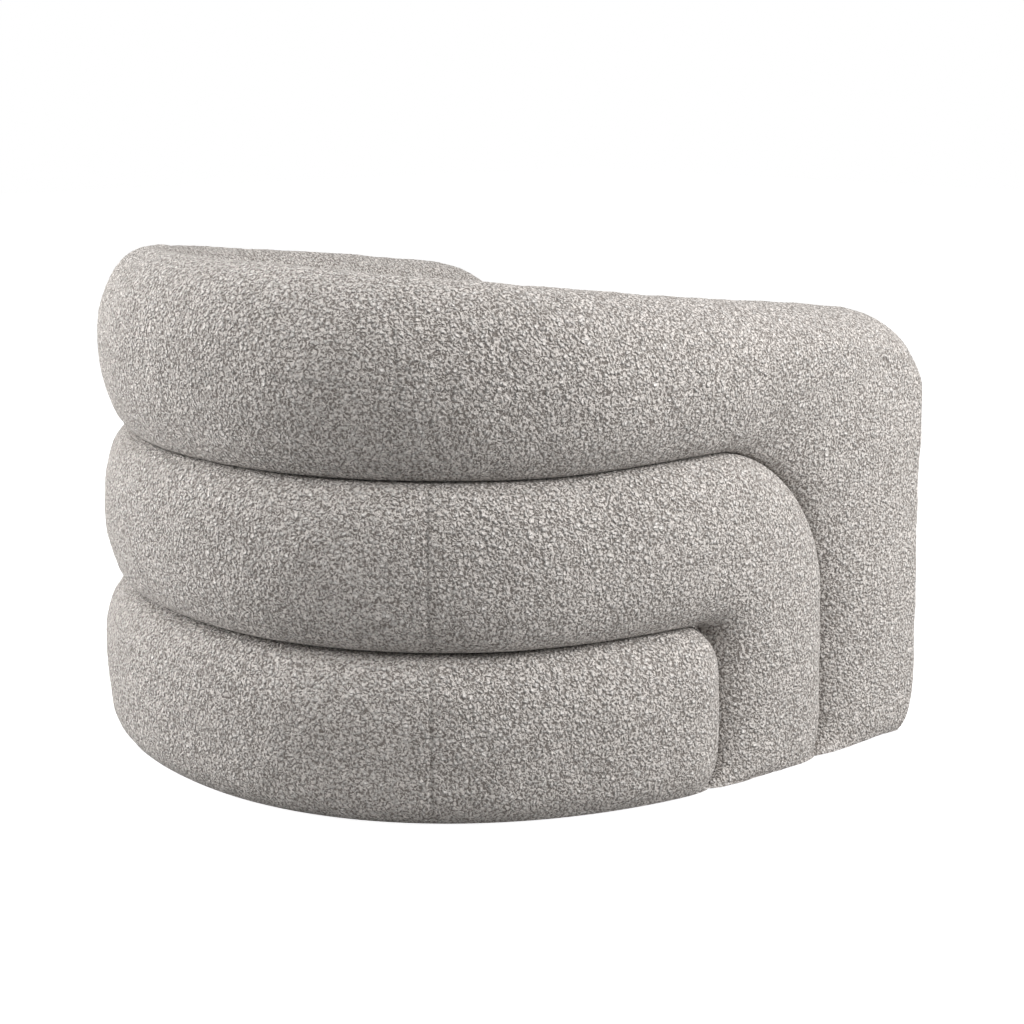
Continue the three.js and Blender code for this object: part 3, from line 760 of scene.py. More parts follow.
@dataclass
class TubWall:
    """The wall's sheet, wrapped round the chair.

    s runs along the outer outline from the middle of the back to an arm's nose, below zero on
    the left. z runs up, and depth inwards from the outer face. Lengths are in metres, while
    powers, slopes and shares have no unit.
    """

    # The outline in plan
    arm_half_width: float = 0.540
    back_reach: float = 0.624
    back_power: float = 2.15
    arm_length: float = 0.2895
    nose_length: float = 0.058
    toe_in: float = 0.025
    # The creases and the rim along the back
    crease_low: float = 0.224
    crease_high: float = 0.447
    crease_low_lift: float = 0.005
    crease_high_lift: float = 0.010
    lift_run: float = 0.314
    rim: float = 0.651
    rim_slope: float = 0.113
    # The legs at the arms, and the bends that lead down to them
    leg_front: float = 0.227
    leg_middle: float = 0.207
    bend_low: float = 0.056
    bend_high: float = 0.202
    bend_rim: float = 0.160
    drop_low: float = 0.088
    drop_high: float = 0.213
    drop_rim: float = 0.105
    bend_power: float = 2.15
    high_bend_power: float = 1.86
    # The rolls' sections
    crease_depth: float = 0.051
    roll_power: float = 2.4
    top_power: float = 1.9
    rim_round: float = 0.103
    rim_crest_share: float = 0.6
    nose_round: float = 0.058
    # The feet and the arms' noses
    foot_round: float = 0.026
    foot_rise: float = 0.045
    foot_power: float = 3.0
    foot_crease: float = 0.25
    foot_tuck: float = 0.014
    arm_foot_tuck: float = 0.010
    foot_gather: float = 0.024
    gather_run: float = 0.120
    foot_flare: float = 0.010
    flare_run: float = 0.150
    nose_foot: float = 0.056
    nose_rise: float = 0.085
    nose_power: float = 1.8
    nose_gather: float = 0.062
    nose_reach: float = 0.120
    skirt_tuck: float = 0.015
    low_belly: float = 0.008
    # What lies inside the wall
    roll_thickness: float = 0.066
    wall_thickness: float = 0.138
    seam_drop: float = 0.150
    seam_round: float = 0.009
    back_rake: float = 0.045
    rim_pad: float = 0.060
    frame_outer: float = 0.0706
    frame_inner: float = 0.0996
    lining_depth: float = 0.1042
    post_width: float = 0.040
    base_level: float = 0.0030
    deck: float = 0.250
    cushion_height: float = 0.162
    samples: int = 3000

    def __post_init__(self) -> None:
        """Works out the outer outline of one half and the lengths that follow from it."""
        turn = np.linspace(0.0, math.pi / 2, self.samples)
        across, back = np.sin(turn), np.cos(turn)
        back[-1] = 0.0
        self.outline_x = self.arm_half_width * across ** (2 / self.back_power)
        self.outline_y = self.back_reach * back ** (2 / self.back_power)
        slope_x = back ** (2 - 2 / self.back_power) / self.back_reach
        slope_y = across ** (2 - 2 / self.back_power) / self.arm_half_width
        size = np.hypot(slope_x, slope_y)
        self.normal_x, self.normal_y = slope_y / size, slope_x / size
        steps = np.hypot(np.diff(self.outline_x), np.diff(self.outline_y))
        self.outline_s = np.concatenate([[0.0], np.cumsum(steps)])
        self.quarter_run = float(self.outline_s[-1])
        self.nose_y = -(self.arm_length + self.nose_length)
        self.half_run = self.quarter_run - self.nose_y
        self.middle_y = (self.back_reach + self.low_belly + self.nose_y) / 2
        self.leg_pair = self.leg_front + self.leg_middle
        self.back_end = self.half_run - self.leg_pair - self.bend_low - self.post_width
        self.frame_front_y = self.nose_y + self.rim_pad

    def plan(self, s: np.ndarray, depth: np.ndarray | float) -> tuple[np.ndarray, np.ndarray]:
        """Plan position, before it is centred on the origin.

        Args:
            s: the run.
            depth: the depth inwards from the outer face.

        Returns:
            x and y.
        """
        s, depth = np.broadcast_arrays(np.asarray(s, float), np.asarray(depth, float))
        run, side = np.abs(s), np.where(s < 0, -1.0, 1.0)
        rows = (self.outline_x, self.outline_y, self.normal_x, self.normal_y)
        x, y, way_x, way_y = (np.interp(run, self.outline_s, row) for row in rows)
        x, y = x - way_x * depth, y - way_y * depth
        arm_y = self.quarter_run - run
        on_arm = run >= self.quarter_run
        arm_x = self.arm_half_width - self.toe_in * (arm_y / self.nose_y) ** 2 - depth
        return side * np.where(on_arm, arm_x, x), np.where(on_arm, arm_y, y)

    def lift(self, y: np.ndarray, z: np.ndarray) -> np.ndarray:
        """The height above the floor: over the high crease all rises towards the back."""
        share = (z - self.crease_high) / (self.rim - self.crease_high)
        return z + self.rim_slope * y * np.clip(share, 0.0, 1.0)

    def at(self, s: np.ndarray, z: np.ndarray, depth: np.ndarray | float) -> np.ndarray:
        """Points in the chair's frame.

        Args:
            s: the run.
            z: the height before the rim's slope.
            depth: the depth inwards from the outer face.

        Returns:
            The points, in rows.
        """
        x, y = self.plan(s, depth)
        z = np.broadcast_to(np.asarray(z, float), x.shape)
        return np.stack([x, y - self.middle_y, self.lift(y, z)], -1)

    def drop(self, share: np.ndarray | float, power: float | None = None) -> np.ndarray:
        """A roll's cross section: 0 in its middle, 1 at the crease."""
        held, power = np.clip(share, 0.0, 1.0), power or self.roll_power
        return 1 - (1 - held**power) ** (1 / power)

    def crease_shares(self, count: int, power: float | None = None) -> np.ndarray:
        """Shares from 1 at the crease to 0, close together where the surface turns in.

        Args:
            count: how many steps there are.
            power: how square the section is, the rolls' own unless given.

        Returns:
            The shares.
        """
        turn = np.linspace(0.0, math.pi / 2, count + 1)
        shares = np.cos(turn) ** (2 / (power or self.roll_power))
        shares[-1] = 0.0
        return shares

    def roll_shares(self, count: int, flat_count: int, coarse: int = 3) -> np.ndarray:
        """Shares across a roll from crease to crease, with its wide middle steps cut finer.

        Args:
            count: how many steps lie between a crease and the middle.
            flat_count: how many finer shares take the place of the widest.
            coarse: how many of the widest they replace.

        Returns:
            The shares, from 0 to 1.
        """
        profile = self.crease_shares(count)
        fine = np.linspace(profile[-coarse - 1], 0.0, flat_count)[1:]
        profile = np.concatenate([profile[:-coarse], fine])
        return np.concatenate([(1 - profile) / 2, (1 + profile[:-1][::-1]) / 2])

    def low_share(self, z: np.ndarray) -> np.ndarray:
        """0 above the foot, growing to 1 at its lowest edge."""
        return np.clip((self.base_level + self.foot_rise - z) / self.foot_rise, 0.0, 1.0)

    def foot(self, z: np.ndarray) -> np.ndarray:
        """How far a roll is drawn in at its foot."""
        return self.foot_round * self.drop((self.base_level + self.foot_round - z) / self.foot_round)

    def nose(self, z: np.ndarray) -> np.ndarray:
        """How far the arm's nose is drawn back at its foot."""
        return self.nose_foot * self.nose_share(z)

    def nose_share(self, z: np.ndarray) -> np.ndarray:
        """0 above the nose's turned-in foot, growing to 1 at its lowest edge."""
        return self.drop((self.base_level + self.nose_rise - z) / self.nose_rise, self.nose_power)

    def flare(self, s: np.ndarray, z: np.ndarray) -> np.ndarray:
        """How far an arm's outer face stands out of the plan, which grows towards the floor.

        Args:
            s: the run.
            z: the height.

        Returns:
            The distance outwards.
        """
        ahead = np.maximum(np.abs(s) - self.quarter_run, 0.0)
        reach = self.toe_in * (ahead / self.nose_y) ** 2 + self.foot_flare * smooth(ahead / self.flare_run)
        return reach * (1 - np.clip(z / self.rim, 0.0, 1.0))

    def gathered(self, s: np.ndarray, z: np.ndarray) -> np.ndarray:
        """The run of points low on a roll: at the foot its creases and the nose turn back.

        Args:
            s: the plain run.
            z: the height.

        Returns:
            The run with the feet gathered.
        """
        ahead = self.half_run - np.abs(s)
        behind = np.abs(s) - (self.half_run - self.leg_pair) + self.gather_run
        held = smooth(behind / self.gather_run) * smooth((ahead - self.gather_run) / self.gather_run)
        tip = np.clip(1 - ahead / self.nose_reach, 0.0, 1.0)
        crease = self.foot_gather * self.low_share(z) ** 2 * held
        return s - np.sign(s) * (crease + self.nose_gather * self.nose_share(z) * tip**2)

    def leg_face(
        self, s: np.ndarray, z: np.ndarray, depth: np.ndarray, edge: np.ndarray | float = 1.0
    ) -> np.ndarray:
        """A roll's depth where its legs come down: one sharp edge at the foot for all the rolls.

        Args:
            s: the run.
            z: the height.
            depth: the plain depth of the roll's cross section.
            edge: how much of the foot's edge the points take.

        Returns:
            The depth with the foot and the flare.
        """
        arm_share = smooth(2 * np.abs(s) / self.quarter_run - 1)
        sole = self.foot_tuck + (self.arm_foot_tuck - self.foot_tuck) * arm_share
        fall = sole - depth * (1 - self.foot_crease)
        return depth + fall * self.low_share(z) ** self.foot_power * edge - self.flare(s, z)

    def inner_face(self, s: np.ndarray, z: np.ndarray) -> np.ndarray:
        """Depth of the face against the sitter, which leans in at the back.

        Args:
            s: the run.
            z: the height.

        Returns:
            The depth inwards from the outer face.
        """
        turn = np.minimum(np.abs(s) / self.quarter_run, 1.0) * math.pi / 2
        seat_top = self.deck + self.cushion_height
        top = self.rim - self.rim_round
        rake = self.back_rake * np.cos(turn) ** 2
        return self.wall_thickness + rake * smooth((top - z) / (top - seat_top))


@dataclass
class Stations:
    """Where along a lane the rings of a roll stand, alike for all the lanes of one roll."""

    wall: TubWall
    pitch: float
    seam: float
    arm_run: float
    foot_count: int = 12
    bend_share: float = 0.8

    def __post_init__(self) -> None:
        """Counts the stations of each stretch, and puts more of them at the two seams."""
        wall = self.wall
        leg = wall.crease_high - wall.drop_high
        self.leg_count = round(leg / self.pitch)
        self.bend_count = round(self.bend_share * (wall.bend_high + wall.drop_high) / self.pitch)
        self.arm_count = round(self.arm_run / self.pitch)
        plain = np.linspace(wall.back_end, 0.0, round(wall.back_end / self.pitch) + 1)
        self.back = np.sort(crowded(plain, self.seam))[::-1]

    def climb(self) -> np.ndarray:
        """How far each station has climbed from the leg to the rim.

        Returns:
            0 along a leg, easing to 1 over the bend, and 1 along the arm and back.
        """
        leg = np.zeros(self.foot_count + self.leg_count)
        bend = smooth(np.arange(1, self.bend_count + 1) / self.bend_count)
        rest = np.ones(self.arm_count + len(self.back) - 1)
        return self.mirrored(np.concatenate([leg, bend, rest]))

    @staticmethod
    def mirrored(half: np.ndarray, sign: float = 1.0) -> np.ndarray:
        """One half's values, then the other's, with the middle of the back written once."""
        return np.concatenate([half, sign * half[:-1][::-1]])

    def low_crease(self) -> Lane:
        """The crease between the bottom and the middle roll."""
        wall = self.wall
        return self.lane(wall.leg_pair, wall.crease_low, wall.bend_low, wall.drop_low, wall.crease_low_lift)

    def high_crease(self) -> Lane:
        """The crease between the middle and the top roll.

        Returns:
            The lane.
        """
        wall = self.wall
        lift, power = wall.crease_high_lift, wall.high_bend_power
        return self.lane(wall.leg_front, wall.crease_high, wall.bend_high, wall.drop_high, lift, power)

    def inner_seam(self) -> Lane:
        """The seam inside the tub, between the top roll and the lining."""
        wall = self.wall
        return self.lane(wall.seam_drop, wall.rim - wall.seam_drop, wall.bend_low, wall.bend_low)

    def lane(
        self,
        inset: float,
        height: float,
        bend: float,
        drop: float,
        rise: float = 0.0,
        power: float | None = None,
    ) -> Lane:
        """A lane at these stations.

        Args:
            inset: how far behind the arm's nose its leg stands.
            height: how high it runs along the back.
            bend: how long its bend is along the arm.
            drop: how far its bend falls.
            rise: how much higher it runs just behind the bend.
            power: how square the bend is, the wall's own unless given.

        Returns:
            The lane.
        """
        wall = self.wall
        front = wall.half_run - inset
        leg_top = height + rise - drop
        start = wall.base_level + wall.foot_rise
        foot = 1 - np.cos(np.linspace(0.0, math.pi / 2, self.foot_count))
        foot_z = wall.base_level + wall.foot_rise * foot
        leg_z = np.linspace(start, leg_top, self.leg_count + 1)[1:]
        turn = np.linspace(0.0, math.pi / 2, self.bend_count + 1)[1:]
        share = np.arange(1, self.arm_count + 1) / self.arm_count
        behind = front - bend
        power = 2 / (power or wall.bend_power)
        up = np.sin(turn) ** power
        along = np.concatenate([np.cos(turn[:-1]) ** power, [0.0]])
        s = [np.full(len(foot_z) + len(leg_z), front), behind + bend * along]
        z = [foot_z, leg_z, leg_top + drop * up]
        level = np.concatenate([behind + (wall.back_end - behind) * share, self.back[1:]])
        s += [level]
        z += [height + rise * (1 - smooth((behind - level) / wall.lift_run))]
        return Lane(self.mirrored(np.concatenate(s), -1.0), self.mirrored(np.concatenate(z)))


@dataclass
class Cover:
    """What the cloth adds to a padded form: swells, ripples, nubs and the vertical seams."""

    swell: float = 0.9 * MM
    swell_length: float = 0.16
    ripple: float = 0.35 * MM
    ripple_length: float = 0.045
    nub: float = 0.22 * MM
    nub_limit: float = 2.0
    seam_depth: float = 2.3 * MM
    seam_half: float = 2.8 * MM
    shoulder_half: float = 11.2 * MM
    shoulder_share: float = 0.35

    def relief(self, points: np.ndarray, seed: int) -> np.ndarray:
        """How far the cloth stands off the plain form.

        Args:
            points: points of the form, in any grid.
            seed: the random seed.

        Returns:
            The distance outwards at each point.
        """
        shape = points.shape[:-1]
        flat = points.reshape(-1, 3)
        nubs = np.random.default_rng(seed).normal(size=len(flat)).clip(-self.nub_limit, self.nub_limit)
        total = self.swell * waves(flat, self.swell_length, seed)
        total += self.ripple * waves(flat, self.ripple_length, seed + 1) + self.nub * nubs
        return total.reshape(shape)

    def seam(self, distance: np.ndarray) -> np.ndarray:
        """How deep the cloth is drawn in near a seam.

        Args:
            distance: the distance from the seam.

        Returns:
            The depth inwards.
        """
        pinch = np.exp(-((distance / self.seam_half) ** 2))
        shoulder = np.exp(-((distance / self.shoulder_half) ** 2))
        return self.seam_depth * (pinch + self.shoulder_share * shoulder)


# The padded wall


@dataclass
class Row:
    """One row of points along a roll: its lane, depth, share of the cloth's relief and side."""

    lane: Lane
    depth: np.ndarray | float
    relief: float
    outside: bool = False


@dataclass
class Upholstery:
    """What every padded piece shares: the wall, its cloth cover and the finishes."""

    wall: TubWall
    cover: Cover
    wardrobe: Wardrobe

    def settle(self, piece: bpy.types.Object, node: str, fill: float) -> bpy.types.Object:
        """Dresses a padded piece and lets it stand for its plain solid.

        Args:
            piece: the mesh.
            node: the solid's name.
            fill: how full the pad is, from 0 to 1; not used.

        Returns:
            The piece.
        """
        self.wardrobe.stand_in(piece, node, Slot.BOUCLE)
        return piece

    def raised(
        self, grid: np.ndarray, weight: np.ndarray, seed: int, sunk: np.ndarray | float = 0.0
    ) -> np.ndarray:
        """A grid of rings with the cloth's relief on it.

        Args:
            grid: rings by points by three. Each ring's first quarter of points tells which way is out.
            weight: how much of the relief each point takes, 0 where it is hidden.
            seed: the random seed.
            sunk: how far each point is drawn in besides.

        Returns:
            The raised grid.
        """
        normal = grid_normals(grid)
        middle = grid.reshape(-1, 3).mean(0)
        away = ((grid - middle) * normal)[..., :2].sum(-1)[:, : grid.shape[1] // 4]
        outward = normal * (1.0 if away.mean() > 0 else -1.0)
        amount = (self.cover.relief(grid, seed) - sunk) * weight
        return grid + outward * amount[..., None]


@dataclass
class Roll(Upholstery):
    """What the three rolls share: the mesh's pitch, a seam on each side of the back, and the fill."""

    pitch: float = 4.6 * MM
    seam: float = 0.407
    seam_share: float = 1.0
    edge_share: float = 0.06
    fill: float = 0.85
    seed: int = 11

    def edge_ease(self, share: float) -> float:
        """How much of the cloth's relief a row takes by its share across the roll."""
        return float(smooth(min(share, 1 - share) / self.edge_share))

    def sewn(
        self, name: str, node: str, rows: list[np.ndarray], weights: list[np.ndarray], run: np.ndarray
    ) -> bpy.types.Object:
        """Joins a roll's rows into one closed piece, with the cloth's relief and its two seams.

        Args:
            name: the piece's name.
            node: the solid's name.
            rows: the rows of points along the roll.
            weights: how much of the relief each point takes.
            run: the run of the stations.

        Returns:
            The piece.
        """
        sunk = self.seam_share * self.cover.seam(np.abs(np.abs(run) - self.seam))[:, None]
        grid = self.raised(np.stack(rows, 1), np.stack(weights, 1), self.seed, sunk)
        return self.settle(tube_piece(name, grid), node, self.fill)


@dataclass
class MiddleRoll(Roll):
    """The roll between the two creases, with its legs turned down to the floor."""

    profile_count: int = 20
    flat_count: int = 14
    hollow: float = 15 * MM
    hollow_reach: float = 30 * MM
    pocket: float = 13 * MM
    pocket_reach: float = 11 * MM
    fold: float = 3.2 * MM
    folds: float = 7.0
    fold_reach: float = 24 * MM
    fold_angle: float = 47.0
    fold_spread: float = 24.0
    fold_edge: float = 0.02

    def build(self) -> bpy.types.Object:
        """Makes the roll.

        Returns:
            The piece.
        """
        wall = self.wall
        stations = Stations(wall, self.pitch, self.seam, wall.post_width)
        low, high = stations.low_crease(), stations.high_crease()
        hold = SOFT_GAP / 2 / low.span(high)
        rows, weights = [], []
        for share in wall.roll_shares(self.profile_count, self.flat_count):
            spot = low.between(high, np.clip(share, hold, 1 - hold))
            depth = wall.crease_depth * wall.drop(abs(2 * share - 1))
            depth = wall.leg_face(spot.s, spot.z, depth) + self.pinched(spot, share)
            rows.append(wall.at(wall.gathered(spot.s, spot.z), spot.z, depth))
            weights.append(np.full(len(spot.s), self.edge_ease(share)))
        inner, outer = low.between(high, hold), low.between(high, 1 - hold)
        for share in (0.0, 0.5, 1.0):
            spot = outer.between(inner, share)
            rows.append(wall.at(wall.gathered(spot.s, spot.z), spot.z, wall.roll_thickness))
            weights.append(np.zeros(len(spot.s)))
        return self.sewn("middle_channel", "middle_roll", rows, weights, low.s)

    def pinched(self, spot: Lane, share: float) -> np.ndarray:
        """The hollow and short folds where the cloth is gathered round the low bend.

        Args:
            spot: the points.
            share: how far across the roll they lie.

        Returns:
            The extra depth at each point.
        """
        wall = self.wall
        front, top = wall.half_run - wall.leg_pair, wall.crease_low + wall.crease_low_lift
        right = np.abs(spot.s) - (front - wall.bend_low)
        up = spot.z - (top - wall.bend_low)
        angle = np.arctan2(np.maximum(up, 0.0), np.maximum(right, HAIR))
        away = np.hypot(np.maximum(right, 0.0), np.maximum(up, 0.0)) - wall.bend_low
        held = (right > 0) * (up > 0)
        near = np.exp(-((away / self.hollow_reach) ** 2))
        pocket = np.exp(-((away / self.pocket_reach) ** 2))
        middle = np.exp(-(((angle - math.radians(self.fold_angle)) / math.radians(self.fold_spread)) ** 2))
        folds = np.cos(self.folds * 2 * angle) * np.exp(-((away / self.fold_reach) ** 2))
        inside = smooth(share / self.fold_edge)
        hollows = self.hollow * near + self.pocket * pocket + self.fold * folds * near
        return held * middle * inside * hollows


@dataclass
class BottomRoll(Roll):
    """The lowest roll, which ends in a rounded front behind the middle roll's leg."""

    seam: float = 0.410
    seed: int = 23
    profile_count: int = 20
    flat_count: int = 14
    front_count: int = 40
    front_reach: float = 1.1
    front_ease: float = 0.1

    def build(self) -> bpy.types.Object:
        """Makes the roll.

        Returns:
            The piece.
        """
        wall = self.wall
        front = wall.half_run - wall.leg_pair
        half = (wall.crease_low - wall.base_level) / 2
        s = self.stations(front, half)
        end = front - np.abs(s)
        arc = np.clip(1 - end / wall.bend_low, 0.0, 1.0)
        top = wall.crease_low + wall.crease_low_lift * (1 - smooth((end - wall.bend_low) / wall.lift_run))
        crest = top - wall.drop_low + wall.drop_low * (1 - arc**wall.bend_power) ** (1 / wall.bend_power)
        height = crest - SOFT_GAP / 2 - wall.base_level
        rows, weights = [], []
        for share in wall.roll_shares(self.profile_count, self.flat_count):
            z = wall.base_level + height * share
            depth = self.face(end, z, top, half)
            rows.append(wall.at(wall.gathered(s, z), z, wall.leg_face(s, z, depth)))
            weights.append(self.edge_ease(share) * smooth(end / (self.front_ease * half)))
        for share in (1.0, 0.5, 0.0):
            z = wall.base_level + height * share
            rows.append(wall.at(wall.gathered(s, z), z, wall.roll_thickness))
            weights.append(np.zeros(len(s)))
        return self.sewn("bottom_channel", "bottom_roll", rows, weights, s)

    def stations(self, front: float, half: float) -> np.ndarray:
        """The run of the rings, close together over the rounded fronts and at the seams.

        Args:
            front: the run of the roll's front end.
            half: half the roll's height.

        Returns:
            The run, from the right front to the left one.
        """
        turn = np.linspace(0.0, math.pi / 2, self.front_count)
        ends = SOFT_GAP / 2 + (1 - np.cos(turn)) * self.front_reach * half
        plain = np.linspace(front - ends[-1], 0.0, round((front - ends[-1]) / self.pitch))
        run = np.unique(np.concatenate([front - ends, crowded(plain, self.seam)]))[::-1]
        return Stations.mirrored(run, -1.0)

    def face(self, end: np.ndarray, z: np.ndarray, top: np.ndarray, half: float) -> np.ndarray:
        """The outer face, which turns in at the crease, at the rounded front and at the skirt.

        Args:
            end: the distance from the front end.
            z: the height.
            top: the height of the crease, before it bends down.
            half: half the roll's height.

        Returns:
            The depth.
        """
        wall = self.wall
        right = 1 - end / wall.bend_low
        up = 1 - (top - z) / wall.drop_low
        corner = np.hypot(np.maximum(right, 0.0), np.maximum(up, 0.0))
        slope = np.arctan2(np.maximum(up, 0.0), np.maximum(right, HAIR))
        reach = wall.bend_low + (wall.drop_low - wall.bend_low) * slope / (math.pi / 2)
        curved = (corner_limit(slope, wall.bend_power) - corner) * reach
        level = np.where(right > up, end, top - z)
        inward = np.where((right > 0) & (up > 0), curved, level)
        crease = wall.crease_depth * wall.drop(1 - inward / half)
        skirt = wall.skirt_tuck * wall.drop(1 - (z - wall.base_level) / half)
        depth = np.minimum(np.hypot(crease, skirt), wall.crease_depth)
        return depth - wall.low_belly * (1 - depth / wall.crease_depth)


@dataclass
class TopRoll(Roll):
    """The largest roll: over the rim, round the noses of the arms and down to the floor."""

    seam: float = 0.369
    seam_share: float = 0.35
    edge_share: float = 0.12
    seed: int = 37
    leg_bulge_share: float = 0.7
    back_bulge_share: float = 0.95
    profile_count: int = 18
    flat_count: int = 12
    round_count: int = 44
    inner_count: int = 16
    lip_count: int = 5
    lip_relief: float = 0.3
    edge_reach: float = 40 * MM

    def build(self) -> bpy.types.Object:
        """Makes the roll.

        Returns:
            The piece.
        """
        wall, pad = self.wall, self.wall.rim_pad
        arm_run = wall.half_run - wall.bend_rim - wall.back_end
        stations = Stations(wall, self.pitch, self.seam, arm_run)
        crease, seam, climb = stations.high_crease(), stations.inner_seam(), stations.climb()
        rim = stations.lane(0.0, wall.rim, wall.bend_rim, wall.drop_rim)
        edge = stations.lane(pad, wall.rim - pad, wall.bend_rim - pad, wall.drop_rim - pad)
        rounded = wall.nose_round + (wall.rim_round - wall.nose_round) * climb
        rows = self.outer_rows(crease, rim, rounded, climb)
        rows += self.rim_rows(crease, rim, seam, rounded)
        rows += self.inner_rows(rim, seam, rounded)
        rows += self.hidden_rows(crease, rim, seam, edge)
        points = [self.tucked(row) for row in rows]
        weights = [np.full(len(row.lane.s), row.relief) for row in rows]
        return self.sewn("top_channel", "top_roll", points, weights, rim.s)

    def outer_rows(self, crease: Lane, rim: Lane, rounded: np.ndarray, climb: np.ndarray) -> list[Row]:
        """The rows of the outer face, from the crease to where the rim begins to round over.

        Args:
            crease: the crease above the middle roll.
            rim: the rim's lane.
            rounded: how wide the rim's rounding is at each station.
            climb: how far each station has climbed from the leg to the rim.

        Returns:
            The rows.
        """
        wall = self.wall
        width = crease.span(rim)
        bulge_share = self.leg_bulge_share + (self.back_bulge_share - self.leg_bulge_share) * climb
        bulge = (width - rounded) * bulge_share
        rows = []
        for t in wall.crease_shares(self.profile_count, wall.top_power):
            distance = np.maximum(bulge * (1 - t), SOFT_GAP / 2)
            depth = wall.crease_depth * wall.drop(t, wall.top_power)
            relief = float(smooth((1 - t) / self.edge_share))
            rows.append(Row(crease.towards(rim, distance), depth, relief, outside=True))
        for share in np.linspace(0.0, 1.0, self.flat_count + 1)[1:-1]:
            distance = bulge + (width - rounded - bulge) * share
            rows.append(Row(crease.towards(rim, distance), 0.0, 1.0, outside=True))
        return rows

    def rim_rows(self, crease: Lane, rim: Lane, seam: Lane, rounded: np.ndarray) -> list[Row]:
        """The rows over the rim, from the outer face to the inner one.

        Args:
            crease: the crease above the middle roll.
            rim: the rim's lane.
            seam: the seam above the lining.
            rounded: how wide the rim's rounding is at each station.

        Returns:
            The rows.
        """
        wall = self.wall
        rows = []
        for turn in np.linspace(0.0, math.pi, self.round_count + 1):
            distance = rounded * (1 - math.sin(turn)) + wall.nose(rim.z) * math.sin(turn)
            spot = rim.towards(crease if turn < math.pi / 2 else seam, distance)
            crest = wall.rim_crest_share if turn < math.pi / 2 else 1 - wall.rim_crest_share
            share = wall.rim_crest_share - crest * math.cos(turn)
            rows.append(Row(spot, wall.inner_face(spot.s, spot.z) * share, 1.0))
        return rows

    def inner_rows(self, rim: Lane, seam: Lane, rounded: np.ndarray) -> list[Row]:
        """The rows down the inner face and round the lip at its seam.

        Args:
            rim: the rim's lane.
            seam: the seam above the lining.
            rounded: how wide the rim's rounding is at each station.

        Returns:
            The rows.
        """
        wall = self.wall
        last = rim.towards(seam, rounded)
        above = seam.towards(rim, SOFT_GAP / 2 + wall.seam_round)
        lip = seam.towards(rim, SOFT_GAP / 2)
        rows = []
        for share in np.linspace(0.0, 1.0, self.inner_count + 1)[1:]:
            spot = last.between(above, share)
            rows.append(Row(spot, wall.inner_face(spot.s, spot.z), 1.0))
        for turn in np.linspace(0.0, math.pi / 2, self.lip_count)[1:]:
            spot = above.between(lip, math.sin(turn))
            face = wall.inner_face(spot.s, spot.z)
            rows.append(Row(spot, face - wall.seam_round * (1 - math.cos(turn)), self.lip_relief))
        return rows

    def hidden_rows(self, crease: Lane, rim: Lane, seam: Lane, edge: Lane) -> list[Row]:
        """The rows against the frame, back to the crease.

        Args:
            crease: the crease above the middle roll.
            rim: the rim's lane.
            seam: the seam above the lining.
            edge: the lane along the outer edge of the frame's rim.

        Returns:
            The rows.
        """
        wall = self.wall
        lip, low = seam.towards(rim, SOFT_GAP / 2), crease.towards(rim, SOFT_GAP / 2)
        rows = [Row(lip, wall.lining_depth, 0.0), Row(edge, wall.lining_depth, 0.0)]
        return rows + [Row(edge.between(low, share), wall.roll_thickness, 0.0) for share in (0.0, 0.5, 1.0)]

    def tucked(self, row: Row) -> np.ndarray:
        """A row's points, drawn in at the feet and kept in front of the frame under the deck.

        Args:
            row: the row, whose outer face keeps the foot's edge up to the crease.

        Returns:
            The points.
        """
        wall, spot = self.wall, row.lane
        depth = np.broadcast_to(row.depth, spot.s.shape)
        tuck = wall.foot(spot.z)
        core = (wall.frame_outer + wall.frame_inner) / 2
        face = np.ones_like(depth) if row.outside else 1 - smooth(depth / wall.roll_thickness)
        edge = np.ones_like(depth) if row.outside else 1 - smooth(depth / self.edge_reach)
        outer = wall.leg_face(spot.s, spot.z, depth, edge)
        shallow = depth + (outer - depth) * face
        kept = np.minimum(depth, wall.lining_depth + SOFT_GAP)
        place = np.where(depth > core, np.maximum(depth - tuck, kept), shallow)
        front = wall.quarter_run - (wall.frame_front_y - SOFT_GAP)
        under = (spot.z < wall.deck) & (depth > core) & (np.abs(spot.s) < front)
        s = np.where(under, np.sign(spot.s) * front, wall.gathered(spot.s, spot.z))
        return wall.at(s, spot.z, place)


